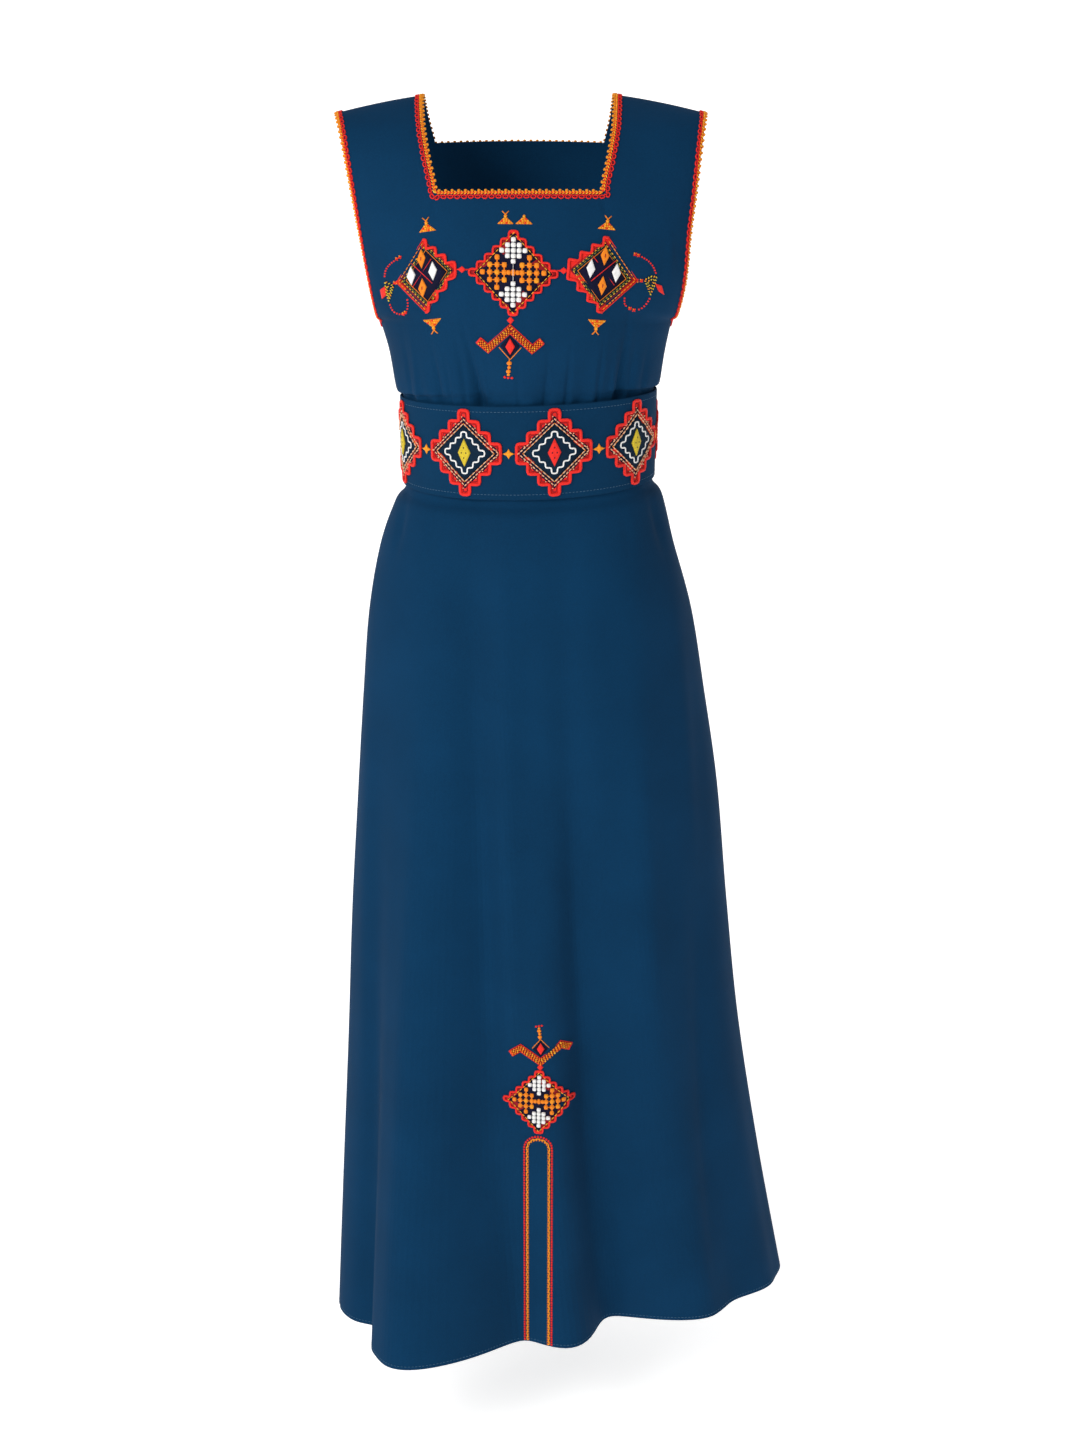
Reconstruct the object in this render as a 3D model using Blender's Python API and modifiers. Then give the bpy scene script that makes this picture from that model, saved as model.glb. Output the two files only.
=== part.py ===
"""A sleeveless kabyle dress: five cloth pieces, crochet braids and applied diamond motifs.

Metres, +Z up. The origin lies midway between the shoulder seams, where the dress is held.
The front faces -Y. Left and right are the viewer's, facing the front, so left is -X.
"""
import math
from bisect import bisect_right
from collections import namedtuple

import bmesh
import bpy
from mathutils import Vector
from mathutils.bvhtree import BVHTree

# Walls and clearances
CLOTH = 0.0016
BELT_CLOTH = 0.0026
BRAID_HEIGHT = 0.0016
PLATE_HEIGHT = 0.0014
SEAM_GAP = 0.0004
LIFT = 0.0006
SETTLE_PASSES = 5
CLEAR_AHEAD = 1.0

# Finishes: linear colour and roughness
CLOTH_FINISH = ((0.010, 0.050, 0.120), 0.75)
BELT_FINISH = ((0.010, 0.048, 0.112), 0.75)
YARN_FINISH = ((0.560, 0.060, 0.020), 0.85)
THREAD_FINISH = ((0.450, 0.020, 0.025), 0.85)

# Waist seam, where bodice and skirt meet behind the belt
WAIST_Z = -0.3445

# The belt is a tapered ring, a little higher on the right. Its lower edge dips towards the front.
Ring = namedtuple("Ring", "z centre centre_y half front back turn")
BELT_TOP = Ring(-0.2975, 0.0100, 0.0, 0.1335, 0.1000, 0.0850, 0.0)
BELT_BOTTOM = Ring(-0.3890, 0.0104, 0.0, 0.1318, 0.0985, 0.0870, 0.0)
BELT_TILT = 0.026
BELT_DIP = 0.005
TILTED_ROWS = 2
BELT_SEGMENTS = 96

# The bodice in rows from the waist seam to the shoulder seam. Each row runs from the left edge to the
# right edge, through a middle whose height and depth differ front and back. An edge is the side seam up
# to the armhole, then the armhole. wrap is how far round the row turns, 90 degrees where it is half a
# ring. neck_left and neck_right are the neckline's edges, and below it only guide the weave of the grid.
Row = namedtuple("Row", "left right edge_z wrap_left wrap_right front_z front front_edge "
                        "back_z back back_edge neck_left neck_right")
BODICE = [
    Row(-0.1185, 0.1393, -0.3443, 90, 90, -0.3443, 0.0961, 0.000, -0.3443, 0.0829, 0.000, -0.066, 0.073),
    Row(-0.1204, 0.1404, -0.2970, 90, 90, -0.2970, 0.0969, 0.000, -0.2970, 0.0819, 0.000, -0.068, 0.074),
    Row(-0.1270, 0.1468, -0.2905, 90, 90, -0.2780, 0.1050, 0.000, -0.2790, 0.0875, 0.000, -0.071, 0.076),
    Row(-0.1344, 0.1520, -0.2520, 90, 90, -0.2460, 0.1150, 0.000, -0.2500, 0.0940, 0.000, -0.075, 0.078),
    Row(-0.1420, 0.1575, -0.2240, 90, 90, -0.2120, 0.1215, 0.000, -0.2120, 0.0990, 0.000, -0.078, 0.080),
    Row(-0.1445, 0.1620, -0.2140, 85, 80, -0.1800, 0.1235, 0.032, -0.1780, 0.1005, 0.030, -0.079, 0.081),
    Row(-0.1505, 0.1690, -0.1780, 84, 73, -0.1470, 0.1195, 0.051, -0.1430, 0.0990, 0.047, -0.0795, 0.082),
    Row(-0.1585, 0.1728, -0.1320, 80, 67, -0.1160, 0.1110, 0.056, -0.1100, 0.0950, 0.051, -0.0795, 0.082),
    Row(-0.1662, 0.1782, -0.0900, 70, 61, -0.0860, 0.1000, 0.052, -0.0790, 0.0870, 0.048, -0.0795, 0.082),
    Row(-0.1730, 0.1825, -0.0550, 58, 54, -0.0560, 0.0850, 0.0435, -0.0490, 0.0745, 0.041, -0.0865, 0.0885),
    Row(-0.1780, 0.1860, -0.0330, 50, 50, -0.0290, 0.0620, 0.031, -0.0245, 0.0550, 0.029, -0.0918, 0.0936),
    Row(-0.1815, 0.1882, -0.0222, 48, 48, -0.0085, 0.0360, 0.0175, -0.0065, 0.0325, 0.0165, -0.0942, 0.0954),
    Row(-0.1832, 0.1891, -0.0178, 47, 47, 0.0052, 0.0130, 0.0065, 0.0055, 0.0120, 0.0060, -0.0951, 0.0961),
    Row(-0.1835, 0.1893, -0.0173, 47, 47, 0.0072, 0.0002, 0.0002, 0.0072, 0.0002, 0.0002, -0.0953, 0.0962),
]
ARMHOLE_ROW = 4
FRONT_NECK_ROW = 8
BACK_NECK_ROW = 9
FRONT_STRAP_COLUMNS, FRONT_NECK_COLUMNS = 11, 20
BACK_STRAP_COLUMNS, BACK_NECK_COLUMNS = 8, 14

# Gathers into the belt: place along x at the belt, depth, half width, height reached and sideways lean
Gather = namedtuple("Gather", "x depth width rise lean")
FRONT_GATHERS = [
    Gather(-0.112, 0.0022, 0.0065, 0.070, -0.004), Gather(-0.096, 0.0028, 0.0065, 0.085, -0.008),
    Gather(-0.078, 0.0034, 0.0070, 0.090, -0.012), Gather(-0.060, 0.0018, 0.0070, 0.060, -0.012),
    Gather(-0.041, 0.0058, 0.0085, 0.105, -0.022), Gather(-0.012, 0.0012, 0.0080, 0.045, -0.004),
    Gather(0.025, 0.0034, 0.0085, 0.075, 0.012), Gather(0.045, 0.0016, 0.0070, 0.050, 0.010),
    Gather(0.064, 0.0036, 0.0080, 0.080, 0.006), Gather(0.087, 0.0018, 0.0070, 0.055, 0.004),
    Gather(0.108, 0.0056, 0.0075, 0.105, 0.008), Gather(0.123, 0.0032, 0.0060, 0.085, 0.006),
    Gather(0.135, 0.0024, 0.0055, 0.060, 0.003),
]
BACK_GATHERS = [
    Gather(-0.104, 0.0026, 0.0090, 0.070, -0.004), Gather(-0.077, 0.0036, 0.0095, 0.095, -0.010),
    Gather(-0.047, 0.0030, 0.0095, 0.080, -0.008), Gather(-0.018, 0.0020, 0.0095, 0.060, -0.004),
    Gather(0.014, 0.0034, 0.0095, 0.085, 0.004), Gather(0.045, 0.0026, 0.0090, 0.070, 0.008),
    Gather(0.073, 0.0038, 0.0095, 0.100, 0.010), Gather(0.101, 0.0024, 0.0090, 0.065, 0.006),
    Gather(0.122, 0.0020, 0.0080, 0.060, 0.004),
]

# The skirt in rings from the waist seam to the hem. turn twists a ring about its centre, in degrees.
SKIRT = [
    Ring(-0.3447, 0.0104, 0.000, 0.1289, 0.0961, 0.0829, 0.0),
    Ring(-0.3905, 0.0105, 0.000, 0.1284, 0.0952, 0.0837, 0.0),
    Ring(-0.4095, 0.0100, 0.000, 0.1404, 0.1040, 0.0960, 0.0),
    Ring(-0.4600, 0.0085, 0.002, 0.1555, 0.1140, 0.1120, 0.0),
    Ring(-0.5300, 0.0118, 0.004, 0.1717, 0.1230, 0.1240, 0.5),
    Ring(-0.6200, 0.0154, 0.008, 0.1834, 0.1290, 0.1320, 1.5),
    Ring(-0.7300, 0.0197, 0.014, 0.1962, 0.1320, 0.1380, 3.0),
    Ring(-0.8700, 0.0219, 0.021, 0.2084, 0.1330, 0.1440, 5.0),
    Ring(-1.0200, 0.0270, 0.029, 0.2215, 0.1330, 0.1500, 7.0),
    Ring(-1.1900, 0.0365, 0.037, 0.2415, 0.1310, 0.1550, 9.0),
    Ring(-1.3576, 0.0485, 0.045, 0.2640, 0.1300, 0.1600, 11.5),
]
SKIRT_FRONT_COLUMNS = 34
SKIRT_BACK_COLUMNS = 26

# Skirt folds: degrees round from the left seam by way of the front, how far the cloth stands out there
# at the hem (in, if negative), half width in degrees and the height where the fold begins. Between that
# height and the hem a fold deepens as this power of the way down.
FOLD_GROWTH = 1.3
Fold = namedtuple("Fold", "angle push width start")
FOLDS = [
    Fold(26, -0.010, 6, -0.60), Fold(40, 0.016, 7, -0.58), Fold(55, 0.080, 14, -0.56),
    Fold(72, -0.022, 6, -0.66), Fold(87, 0.022, 7, -0.74), Fold(103, -0.044, 12, -0.66),
    Fold(122, 0.008, 8, -0.70), Fold(140, -0.014, 10, -0.80), Fold(164, -0.004, 8, -0.80),
    Fold(204, 0.020, 13, -0.62), Fold(229, -0.022, 12, -0.74), Fold(257, 0.030, 14, -0.58),
    Fold(284, -0.022, 12, -0.70), Fold(309, 0.024, 13, -0.60), Fold(335, -0.012, 11, -0.80),
]

# Braids: their widths, and the inverted U on the skirt
NECK_BRAID_WIDTH = 0.0085
ARMHOLE_BRAID_WIDTH = 0.0070
SLIT_BRAID_WIDTH = 0.0062
SLIT_X, SLIT_HALF, SLIT_ARCH_Z = 0.0198, 0.0105, -1.1102
SLIT_STATIONS = 14
ARCH_ANGLES = (30, 60, 90, 120, 150)
SHARPEST_MITRE = 0.5

# Applied diamonds: centre across and up, full width and height, steps along a side, half the width of
# the blunt upper and lower tips, half the height of the blunt side tips, and how the cloth carries them
# out of true: up for each metre across, and across for each metre up
Diamond = namedtuple("Diamond", "x z width height steps tip side slope lean")
CHEST_DIAMOND = Diamond(-0.0040, -0.1638, 0.0885, 0.0850, 5, 0.0028, 0.0044, -0.02, 0.01)
CHEST_DIAMOND_LEFT = Diamond(-0.0901, -0.1685, 0.0618, 0.0734, 3, 0.0031, 0.0093, 0.26, -0.03)
CHEST_DIAMOND_RIGHT = Diamond(0.0840, -0.1667, 0.0716, 0.0744, 3, 0.0039, 0.0108, -0.20, 0.09)
SKIRT_DIAMOND = Diamond(0.0207, -1.0530, 0.0777, 0.0790, 5, 0.0028, 0.0040, -0.06, 0.01)
BELT_DIAMOND = Diamond(-0.0545, 0.0003, 0.0795, 0.0905, 3, 0.0069, 0.0118, 0.0, 0.0)

# From the first belt diamond to the second, on to the third, and from the last one round to the first.
# The others share what is left, at the back.
BELT_GAPS, BELT_LAST_GAP = (0.0924, 0.0946), 0.0932
BELT_SHARED_GAPS = 5
BELT_STATIONS = 720

# Chevrons: a stitched band through five corners, given across and up from the middle one
CHEVRON_WIDTH = 0.0070
CHEVRON_STATION = 0.005
CHEVRON = [(-0.0330, -0.0110), (-0.0215, -0.0210), (0.0, 0.0), (0.0215, -0.0210), (0.0330, -0.0110)]
CHEST_CHEVRON_X, CHEST_CHEVRON_Z = -0.0073, -0.2226
SKIRT_CHEVRON_X, SKIRT_CHEVRON_Z = 0.0225, -1.0008


def material(name, colour, roughness):
    """A plain matte finish."""
    made = bpy.data.materials.new(name)
    made.use_nodes = True
    shader = made.node_tree.nodes["Principled BSDF"]
    shader.inputs["Base Color"].default_value = (*colour, 1.0)
    shader.inputs["Roughness"].default_value = roughness
    shader.inputs["Metallic"].default_value = 0.0
    made.diffuse_color = (*colour, 1.0)
    return made


def between(rows, place):
    """The row at a place along a table, read on a smooth curve through its neighbours."""
    first = min(int(place), len(rows) - 2)
    t = place - first
    last = len(rows) - 1
    near = (rows[max(first - 1, 0)], rows[first], rows[first + 1], rows[min(first + 2, last)])

    def curve(a, b, c, d):
        return b + t * ((c - a) / 2 + t * (a - 2.5 * b + 2 * c - d / 2 + t * (1.5 * (b - c) + (d - a) / 2)))

    return type(rows[0])(*(curve(*values) for values in zip(*near)))


def bell(distance, width):
    """1 at the middle of a fold, falling softly to 0 on both sides."""
    return math.exp(-(distance / width) ** 2)


def ramp(value):
    """A soft step from 0 to 1."""
    value = min(max(value, 0.0), 1.0)
    return value * value * (3 - 2 * value)


def belt_line(x, centre, place):
    """How much the rows at the belt tilt with it; the tilt is gone a row further on."""
    return BELT_TILT * (x - centre) * ramp(TILTED_ROWS + 1 - place)


def belt_dip(angle):
    """How far the belt's lower edge dips on the front, degrees round from the left by way of the front."""
    return BELT_DIP * max(math.sin(math.radians(angle)), 0.0)


def gather_depth(gathers, row, x, z):
    """How far the gathers draw the bodice in at one point, deepest at the belt's top edge."""
    above = z - BELT_TOP.z
    tucked = ramp((z - WAIST_Z) / (BELT_TOP.z - WAIST_Z))
    spread = (row.right - row.left) / (2 * BELT_TOP.half)
    depth = 0.0
    for gather in gathers:
        height = max(above, 0.0) / gather.rise
        line = (gather.x - BELT_TOP.centre) * spread + BELT_TOP.centre + gather.lean * height
        depth += gather.depth * bell(x - line, gather.width * (1 + height)) * (1 - ramp(height))
    return depth * tucked


def bodice_point(front, place, column, strap, neck):
    """A point on the outside of the bodice.

    place counts rows up the table. column runs from the left edge to the right edge: strap columns
    to the neckline's side, neck columns across it, and strap columns again.
    """
    row = between(BODICE, place)
    wrap_left, wrap_right = math.radians(row.wrap_left), math.radians(row.wrap_right)
    centre, half = (row.left + row.right) / 2, (row.right - row.left) / 2
    stops = [-wrap_left, math.asin((row.neck_left - centre) / half * math.sin(wrap_left)),
             math.asin((row.neck_right - centre) / half * math.sin(wrap_right)), wrap_right]
    counts = (strap, neck, strap)
    part, done = 0, 0
    while part < 2 and column > done + counts[part]:
        done += counts[part]
        part += 1
    turn = stops[part] + (stops[part + 1] - stops[part]) * (column - done) / counts[part]
    wrap = wrap_left if turn < 0 else wrap_right
    across = math.sin(turn) / math.sin(wrap)
    swell = (math.cos(turn) - math.cos(wrap)) / (1 - math.cos(wrap))
    middle_z, middle, edge = ((row.front_z, row.front, row.front_edge) if front else
                              (row.back_z, row.back, row.back_edge))
    side = -1 if front else 1
    x = centre + half * across
    y = side * (max(edge, SEAM_GAP / 2) + (middle - edge) * swell)
    z = middle_z + (row.edge_z - middle_z) * across ** 2 + belt_line(x, centre, place)
    inward = Vector((centre - x, -y, 0)).normalized()
    return Vector((x, y, z)) + inward * gather_depth(FRONT_GATHERS if front else BACK_GATHERS, row, x, z)


def ring_point(ring, angle):
    """A point on a ring, degrees round from the left by way of the front."""
    turned = math.radians(angle)
    depth = ring.front if math.sin(turned) >= 0 else ring.back
    x, y = -ring.half * math.cos(turned), -depth * math.sin(turned)
    twist = math.radians(ring.turn)
    return Vector((ring.centre + x * math.cos(twist) - y * math.sin(twist),
                   ring.centre_y + x * math.sin(twist) + y * math.cos(twist), ring.z))


def skirt_point(place, angle):
    """A point on the outside of the skirt, with the folds growing towards the hem."""
    ring = between(SKIRT, place)
    point = ring_point(ring, angle)
    point.z += belt_line(point.x, ring.centre, place)
    point.z -= belt_dip(angle) * ramp(place) * ramp(TILTED_ROWS + 1 - place)
    outward = (point - Vector((ring.centre, ring.centre_y, ring.z))).normalized()
    push = 0.0
    for fold in FOLDS:
        fallen = max(fold.start - ring.z, 0.0) / (fold.start - SKIRT[-1].z)
        off = (angle - fold.angle + 180) % 360 - 180
        push += fold.push * bell(off, fold.width) * fallen ** FOLD_GROWTH
    return point + outward * push


def belt_point(up, angle):
    """A point on the outside of the belt, up from 0 at its lower edge to 1 at its upper edge."""
    ring = Ring(*(low + (high - low) * up for low, high in zip(BELT_BOTTOM, BELT_TOP)))
    point = ring_point(ring, angle)
    point.z += BELT_TILT * (point.x - ring.centre) - belt_dip(angle) * (1 - up)
    return point


def sheet_mesh(name, rows, kept=lambda row, column: True, closed=False):
    """An open sheet over rows of points, listed upward and anticlockwise seen from above.

    Its quads are split here, so that what is laid on the sheet finds the same flats as the solid has.
    """
    sheet = bmesh.new()
    verts = [[sheet.verts.new(point) for point in row] for row in rows]
    for i in range(len(rows) - 1):
        count = len(rows[i])
        for j in range(count if closed else count - 1):
            k = (j + 1) % count
            if kept(i, j):
                sheet.faces.new((verts[i][j], verts[i][k], verts[i + 1][k], verts[i + 1][j]))
    bmesh.ops.delete(sheet, geom=[vert for vert in sheet.verts if not vert.link_faces], context="VERTS")
    bmesh.ops.triangulate(sheet, faces=sheet.faces, quad_method="SHORT_EDGE")
    mesh = bpy.data.meshes.new(name)
    sheet.to_mesh(mesh)
    sheet.free()
    mesh.shade_smooth()
    return mesh


def solid(name, mesh, thickness, outward, finish, collection):
    """A named object whose wall is grown from an open sheet, inward or outward."""
    piece = bpy.data.objects.new(name, mesh)
    collection.objects.link(piece)
    mesh.materials.append(finish)
    wall = piece.modifiers.new("wall", "SOLIDIFY")
    wall.thickness = thickness
    wall.offset = 1 if outward else -1
    return piece


def surface_of(*pieces):
    """A search tree over the outsides of some cloth pieces."""
    points, faces = [], []
    for piece in pieces:
        start = len(points)
        points += [vert.co.copy() for vert in piece.data.vertices]
        faces += [[start + index for index in face.vertices] for face in piece.data.polygons]
    return BVHTree.FromPolygons(points, faces)


def settle(mesh, surface):
    """Raise a sheet that is laid on the cloth wherever a face or an edge would sink into it."""
    verts = mesh.vertices
    groups = [list(face.vertices) for face in mesh.polygons]
    for edge in mesh.edges:
        start, end = edge.vertices
        groups += [[start], [end], [start, end], [start, start, start, end], [start, end, end, end]]
    for _ in range(SETTLE_PASSES):
        for group in groups:
            place = sum((verts[index].co for index in group), Vector()) / len(group)
            point, normal = surface.find_nearest(place)[:2]
            rise = LIFT - (place - point).dot(normal)
            if rise > 0:
                for index in set(group):
                    verts[index].co += normal * rise
    return mesh


def front_hit(surface, x, z):
    """The point on the front of the cloth straight behind a place given across and up."""
    return surface.ray_cast(Vector((x, -CLEAR_AHEAD, z)), Vector((0, 1, 0)))[:2]


def laid(point, normal):
    """A point just clear of the cloth."""
    return point + normal * LIFT


def mitred(corners, width):
    """A flat line of corners moved sideways, to the left of the way it runs."""
    moved = []
    for i, corner in enumerate(corners):
        near = corners[max(i - 1, 0):i + 2]
        legs = [(end - start).normalized() for start, end in zip(near, near[1:])]
        along = sum(legs, Vector((0, 0))).normalized()
        moved.append(corner + Vector((-along.y, along.x)) * width / along.dot(legs[0]))
    return moved


def strip_mesh(name, path, surface, width, closed=False):
    """A strip laid on the cloth along a path, widening to the path's left as seen from outside."""
    edge, inner = [], []
    count = len(path)
    for i, place in enumerate(path):
        before = path[(i - 1) % count] if closed or i > 0 else place
        after = path[(i + 1) % count] if closed or i < count - 1 else place
        legs = [leg.normalized() for leg in (place - before, after - place) if leg.length > 0]
        along = sum(legs, Vector()).normalized()
        mitre = 1 / max(along.dot(legs[0]), SHARPEST_MITRE)
        point, normal = surface.find_nearest(place)[:2]
        across = normal.cross(along).normalized()
        far, far_normal = surface.find_nearest(point + across * width * mitre)[:2]
        edge.append(laid(point, normal))
        inner.append(laid(far, far_normal))
    return settle(sheet_mesh(name, [edge, inner], closed=closed), surface)


def step_edges(full, tip, steps):
    """Where a diamond's steps lie from side to side of its middle, the tip's own the nearest."""
    half = [tip + (full / 2 - tip) * step / steps for step in range(steps + 1)]
    return [-edge for edge in reversed(half)] + half


def stepped_mesh(name, diamond, at):
    """A diamond with stepped sides, made of small cells laid on the cloth.

    at gives the point and normal of the cloth for a place across and up from the diamond's centre.
    """
    steps = diamond.steps
    columns = step_edges(diamond.width, diamond.tip, steps)
    rows = [[laid(*at(across, up)) for across in columns]
            for up in step_edges(diamond.height, diamond.side, steps)]
    return sheet_mesh(name, rows, kept=lambda j, i: abs(i - steps) + abs(j - steps) <= steps)


def bodice(front, finish, collection):
    """The front or back bodice panel, with its neckline left out of the grid."""
    strap, neck = ((FRONT_STRAP_COLUMNS, FRONT_NECK_COLUMNS) if front else
                   (BACK_STRAP_COLUMNS, BACK_NECK_COLUMNS))
    neck_row = FRONT_NECK_ROW if front else BACK_NECK_ROW
    places = [0.0] + [1 + step / 2 for step in range(2 * (len(BODICE) - 2) + 1)]
    columns = list(range(2 * strap + neck + 1))
    if not front:
        columns.reverse()
    rows = [[bodice_point(front, place, column, strap, neck) for column in columns] for place in places]
    mesh = sheet_mesh("bodice", rows,
                      kept=lambda row, column: places[row] < neck_row or not strap <= column < strap + neck)
    return solid("bodice_front" if front else "bodice_back", mesh, CLOTH, False, finish, collection)


def skirt(front, finish, collection):
    """The front or back skirt panel, between the side seams."""
    count = SKIRT_FRONT_COLUMNS if front else SKIRT_BACK_COLUMNS
    start = 0 if front else 180
    places = [0, 1, 2] + [2 + step / 2 for step in range(1, 2 * (len(SKIRT) - 3) + 1)]
    rows = []
    for place in reversed(places):
        seam = math.degrees(SEAM_GAP / 2 / between(SKIRT, place).front)
        angles = [start + seam + (180 - 2 * seam) * step / count for step in range(count + 1)]
        rows.append([skirt_point(place, angle) for angle in angles])
    return solid("skirt_front" if front else "skirt_back", sheet_mesh("skirt", rows), CLOTH, False,
                 finish, collection)


def belt(finish, collection):
    """The belt, a closed ring over the waist seam."""
    angles = [360 * step / BELT_SEGMENTS for step in range(BELT_SEGMENTS)]
    rows = [[belt_point(up, angle) for angle in angles] for up in (0, 1)]
    return solid("belt", sheet_mesh("belt", rows, closed=True), BELT_CLOTH, False, finish, collection)


def panel_edge(front, column, places):
    """Points up or down one edge column of a bodice panel."""
    strap, neck = ((FRONT_STRAP_COLUMNS, FRONT_NECK_COLUMNS) if front else
                   (BACK_STRAP_COLUMNS, BACK_NECK_COLUMNS))
    at = {"left": 0, "neck_left": strap, "neck_right": strap + neck, "right": 2 * strap + neck}[column]
    return [bodice_point(front, place, at, strap, neck) for place in places]


def neckline(front):
    """The bottom of the neckline, from its left corner to its right corner, corners left out."""
    strap, neck, row = ((FRONT_STRAP_COLUMNS, FRONT_NECK_COLUMNS, FRONT_NECK_ROW) if front else
                        (BACK_STRAP_COLUMNS, BACK_NECK_COLUMNS, BACK_NECK_ROW))
    return [bodice_point(front, row, strap + step, strap, neck) for step in range(2, neck - 1, 2)]


def stations(low, high, count):
    """Places up a table, a number of them to each row."""
    return [low + step / count for step in range(int(count * (high - low)) + 1)]


def neck_braid(surface, finish, collection):
    """One braid all round the neck opening, clockwise seen from above."""
    top = len(BODICE) - 1
    rise_front, rise_back = stations(FRONT_NECK_ROW, top, 2), stations(BACK_NECK_ROW, top, 2)
    path = panel_edge(True, "neck_right", rise_front) + panel_edge(False, "neck_right", rise_back[-2::-1])
    path += neckline(False)[::-1]
    path += panel_edge(False, "neck_left", rise_back) + panel_edge(True, "neck_left", rise_front[-2::-1])
    path += neckline(True)
    mesh = strip_mesh("neck_braid", path[::-1], surface, NECK_BRAID_WIDTH, closed=True)
    return solid("neck_braid", mesh, BRAID_HEIGHT, True, finish, collection)


def armhole_braid(side, surface, finish, collection):
    """One braid all round an armhole."""
    rise = stations(ARMHOLE_ROW, len(BODICE) - 1, 4)
    path = panel_edge(True, side, rise) + panel_edge(False, side, rise[-2:0:-1])
    if side == "left":
        path.reverse()
    mesh = strip_mesh("armhole_braid", path, surface, ARMHOLE_BRAID_WIDTH, closed=True)
    return solid("armhole_braid_" + side, mesh, BRAID_HEIGHT, True, finish, collection)


def slit_braid(surface, finish, collection):
    """The inverted U on the skirt front, from the hem over its arch and back to the hem."""
    hem = SKIRT[-1].z + LIFT
    heights = [hem + (SLIT_ARCH_Z - hem) * step / SLIT_STATIONS for step in range(SLIT_STATIONS + 1)]
    places = [(SLIT_X + SLIT_HALF, z) for z in heights]
    for angle in ARCH_ANGLES:
        turned = math.radians(angle)
        places.append((SLIT_X + SLIT_HALF * math.cos(turned), SLIT_ARCH_Z + SLIT_HALF * math.sin(turned)))
    places += [(SLIT_X - SLIT_HALF, z) for z in reversed(heights)]
    path = [front_hit(surface, x, z)[0] for x, z in places]
    mesh = strip_mesh("slit_braid", path[::-1], surface, SLIT_BRAID_WIDTH)
    return solid("slit_braid", mesh, BRAID_HEIGHT, True, finish, collection)


def front_diamond(name, diamond, surface, finish, collection):
    """A stepped diamond on the front of a panel."""
    def at(across, up):
        return front_hit(surface, diamond.x + across + diamond.lean * up, diamond.z + up + diamond.slope * across)

    mesh = stepped_mesh(name, diamond, at)
    return solid(name, settle(mesh, surface), PLATE_HEIGHT, True, finish, collection)


def chevron(name, x, z, upward, surface, finish, collection):
    """A stitched band of four short legs, pointing up or down."""
    corners = [Vector((x + across, z + upward * up)) for across, up in CHEVRON]
    if upward < 0:
        corners.reverse()
    rows = []
    for line in (corners, mitred(corners, CHEVRON_WIDTH)):
        row = []
        for leg, (start, end) in enumerate(zip(line, line[1:])):
            count = math.ceil((corners[leg + 1] - corners[leg]).length / CHEVRON_STATION)
            row += [start.lerp(end, station / count) for station in range(count)]
        rows.append([laid(*front_hit(surface, *place)) for place in row + [line[-1]]])
    return solid(name, settle(sheet_mesh(name, rows), surface), PLATE_HEIGHT, True, finish, collection)


def belt_diamonds(finish, collection):
    """Stepped diamonds all round the belt."""
    step_angle = 360 / BELT_STATIONS
    ring = [belt_point(0.5, step * step_angle) for step in range(BELT_STATIONS + 1)]
    lengths = [0.0]
    for a, b in zip(ring, ring[1:]):
        lengths.append(lengths[-1] + (b - a).length)
    front = range(BELT_STATIONS // 2)
    start = min(front, key=lambda step: abs(ring[step].x - BELT_DIAMOND.x))

    def angle_at(distance):
        distance %= lengths[-1]
        step = min(bisect_right(lengths, distance), BELT_STATIONS) - 1
        share = (distance - lengths[step]) / (lengths[step + 1] - lengths[step])
        return (step + share) * step_angle

    height = (belt_point(1, 90) - belt_point(0, 90)).length
    middles = [0.0]
    for gap in BELT_GAPS:
        middles.append(middles[-1] + gap)
    shared = (lengths[-1] - BELT_LAST_GAP - middles[-1]) / BELT_SHARED_GAPS
    middles += [middles[-1] + shared * number for number in range(1, BELT_SHARED_GAPS + 1)]
    for number, distance in enumerate(middles):
        middle = lengths[start] + distance

        def at(across, up):
            angle = angle_at(middle + across)
            point = belt_point(0.5 + (BELT_DIAMOND.z + up) / height, angle)
            along = belt_point(0.5, angle + step_angle) - belt_point(0.5, angle - step_angle)
            return point, along.cross(Vector((0, 0, 1))).normalized()

        name = "belt_diamond_{}".format(number + 1)
        solid(name, stepped_mesh(name, BELT_DIAMOND, at), PLATE_HEIGHT, True, finish, collection)


def build():
    """All the pieces of the dress."""
    for old in list(bpy.data.objects):
        bpy.data.objects.remove(old)
    dress = bpy.data.collections.new("kabyle_dress")
    bpy.context.scene.collection.children.link(dress)

    cloth = material("blue_cloth", *CLOTH_FINISH)
    band = material("belt_cloth", *BELT_FINISH)
    yarn = material("braid_yarn", *YARN_FINISH)
    thread = material("motif_thread", *THREAD_FINISH)

    bodice_pieces = [bodice(front, cloth, dress) for front in (True, False)]
    skirt_pieces = [skirt(front, cloth, dress) for front in (True, False)]
    belt(band, dress)

    top = surface_of(*bodice_pieces)
    neck_braid(top, yarn, dress)
    for side in ("left", "right"):
        armhole_braid(side, top, yarn, dress)
    bottom = surface_of(skirt_pieces[0])
    slit_braid(bottom, yarn, dress)

    front_diamond("chest_diamond", CHEST_DIAMOND, top, thread, dress)
    front_diamond("chest_diamond_left", CHEST_DIAMOND_LEFT, top, thread, dress)
    front_diamond("chest_diamond_right", CHEST_DIAMOND_RIGHT, top, thread, dress)
    front_diamond("skirt_diamond", SKIRT_DIAMOND, bottom, thread, dress)
    chevron("chest_chevron", CHEST_CHEVRON_X, CHEST_CHEVRON_Z, 1, top, thread, dress)
    chevron("skirt_chevron", SKIRT_CHEVRON_X, SKIRT_CHEVRON_Z, -1, bottom, thread, dress)
    belt_diamonds(thread, dress)


build()
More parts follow.
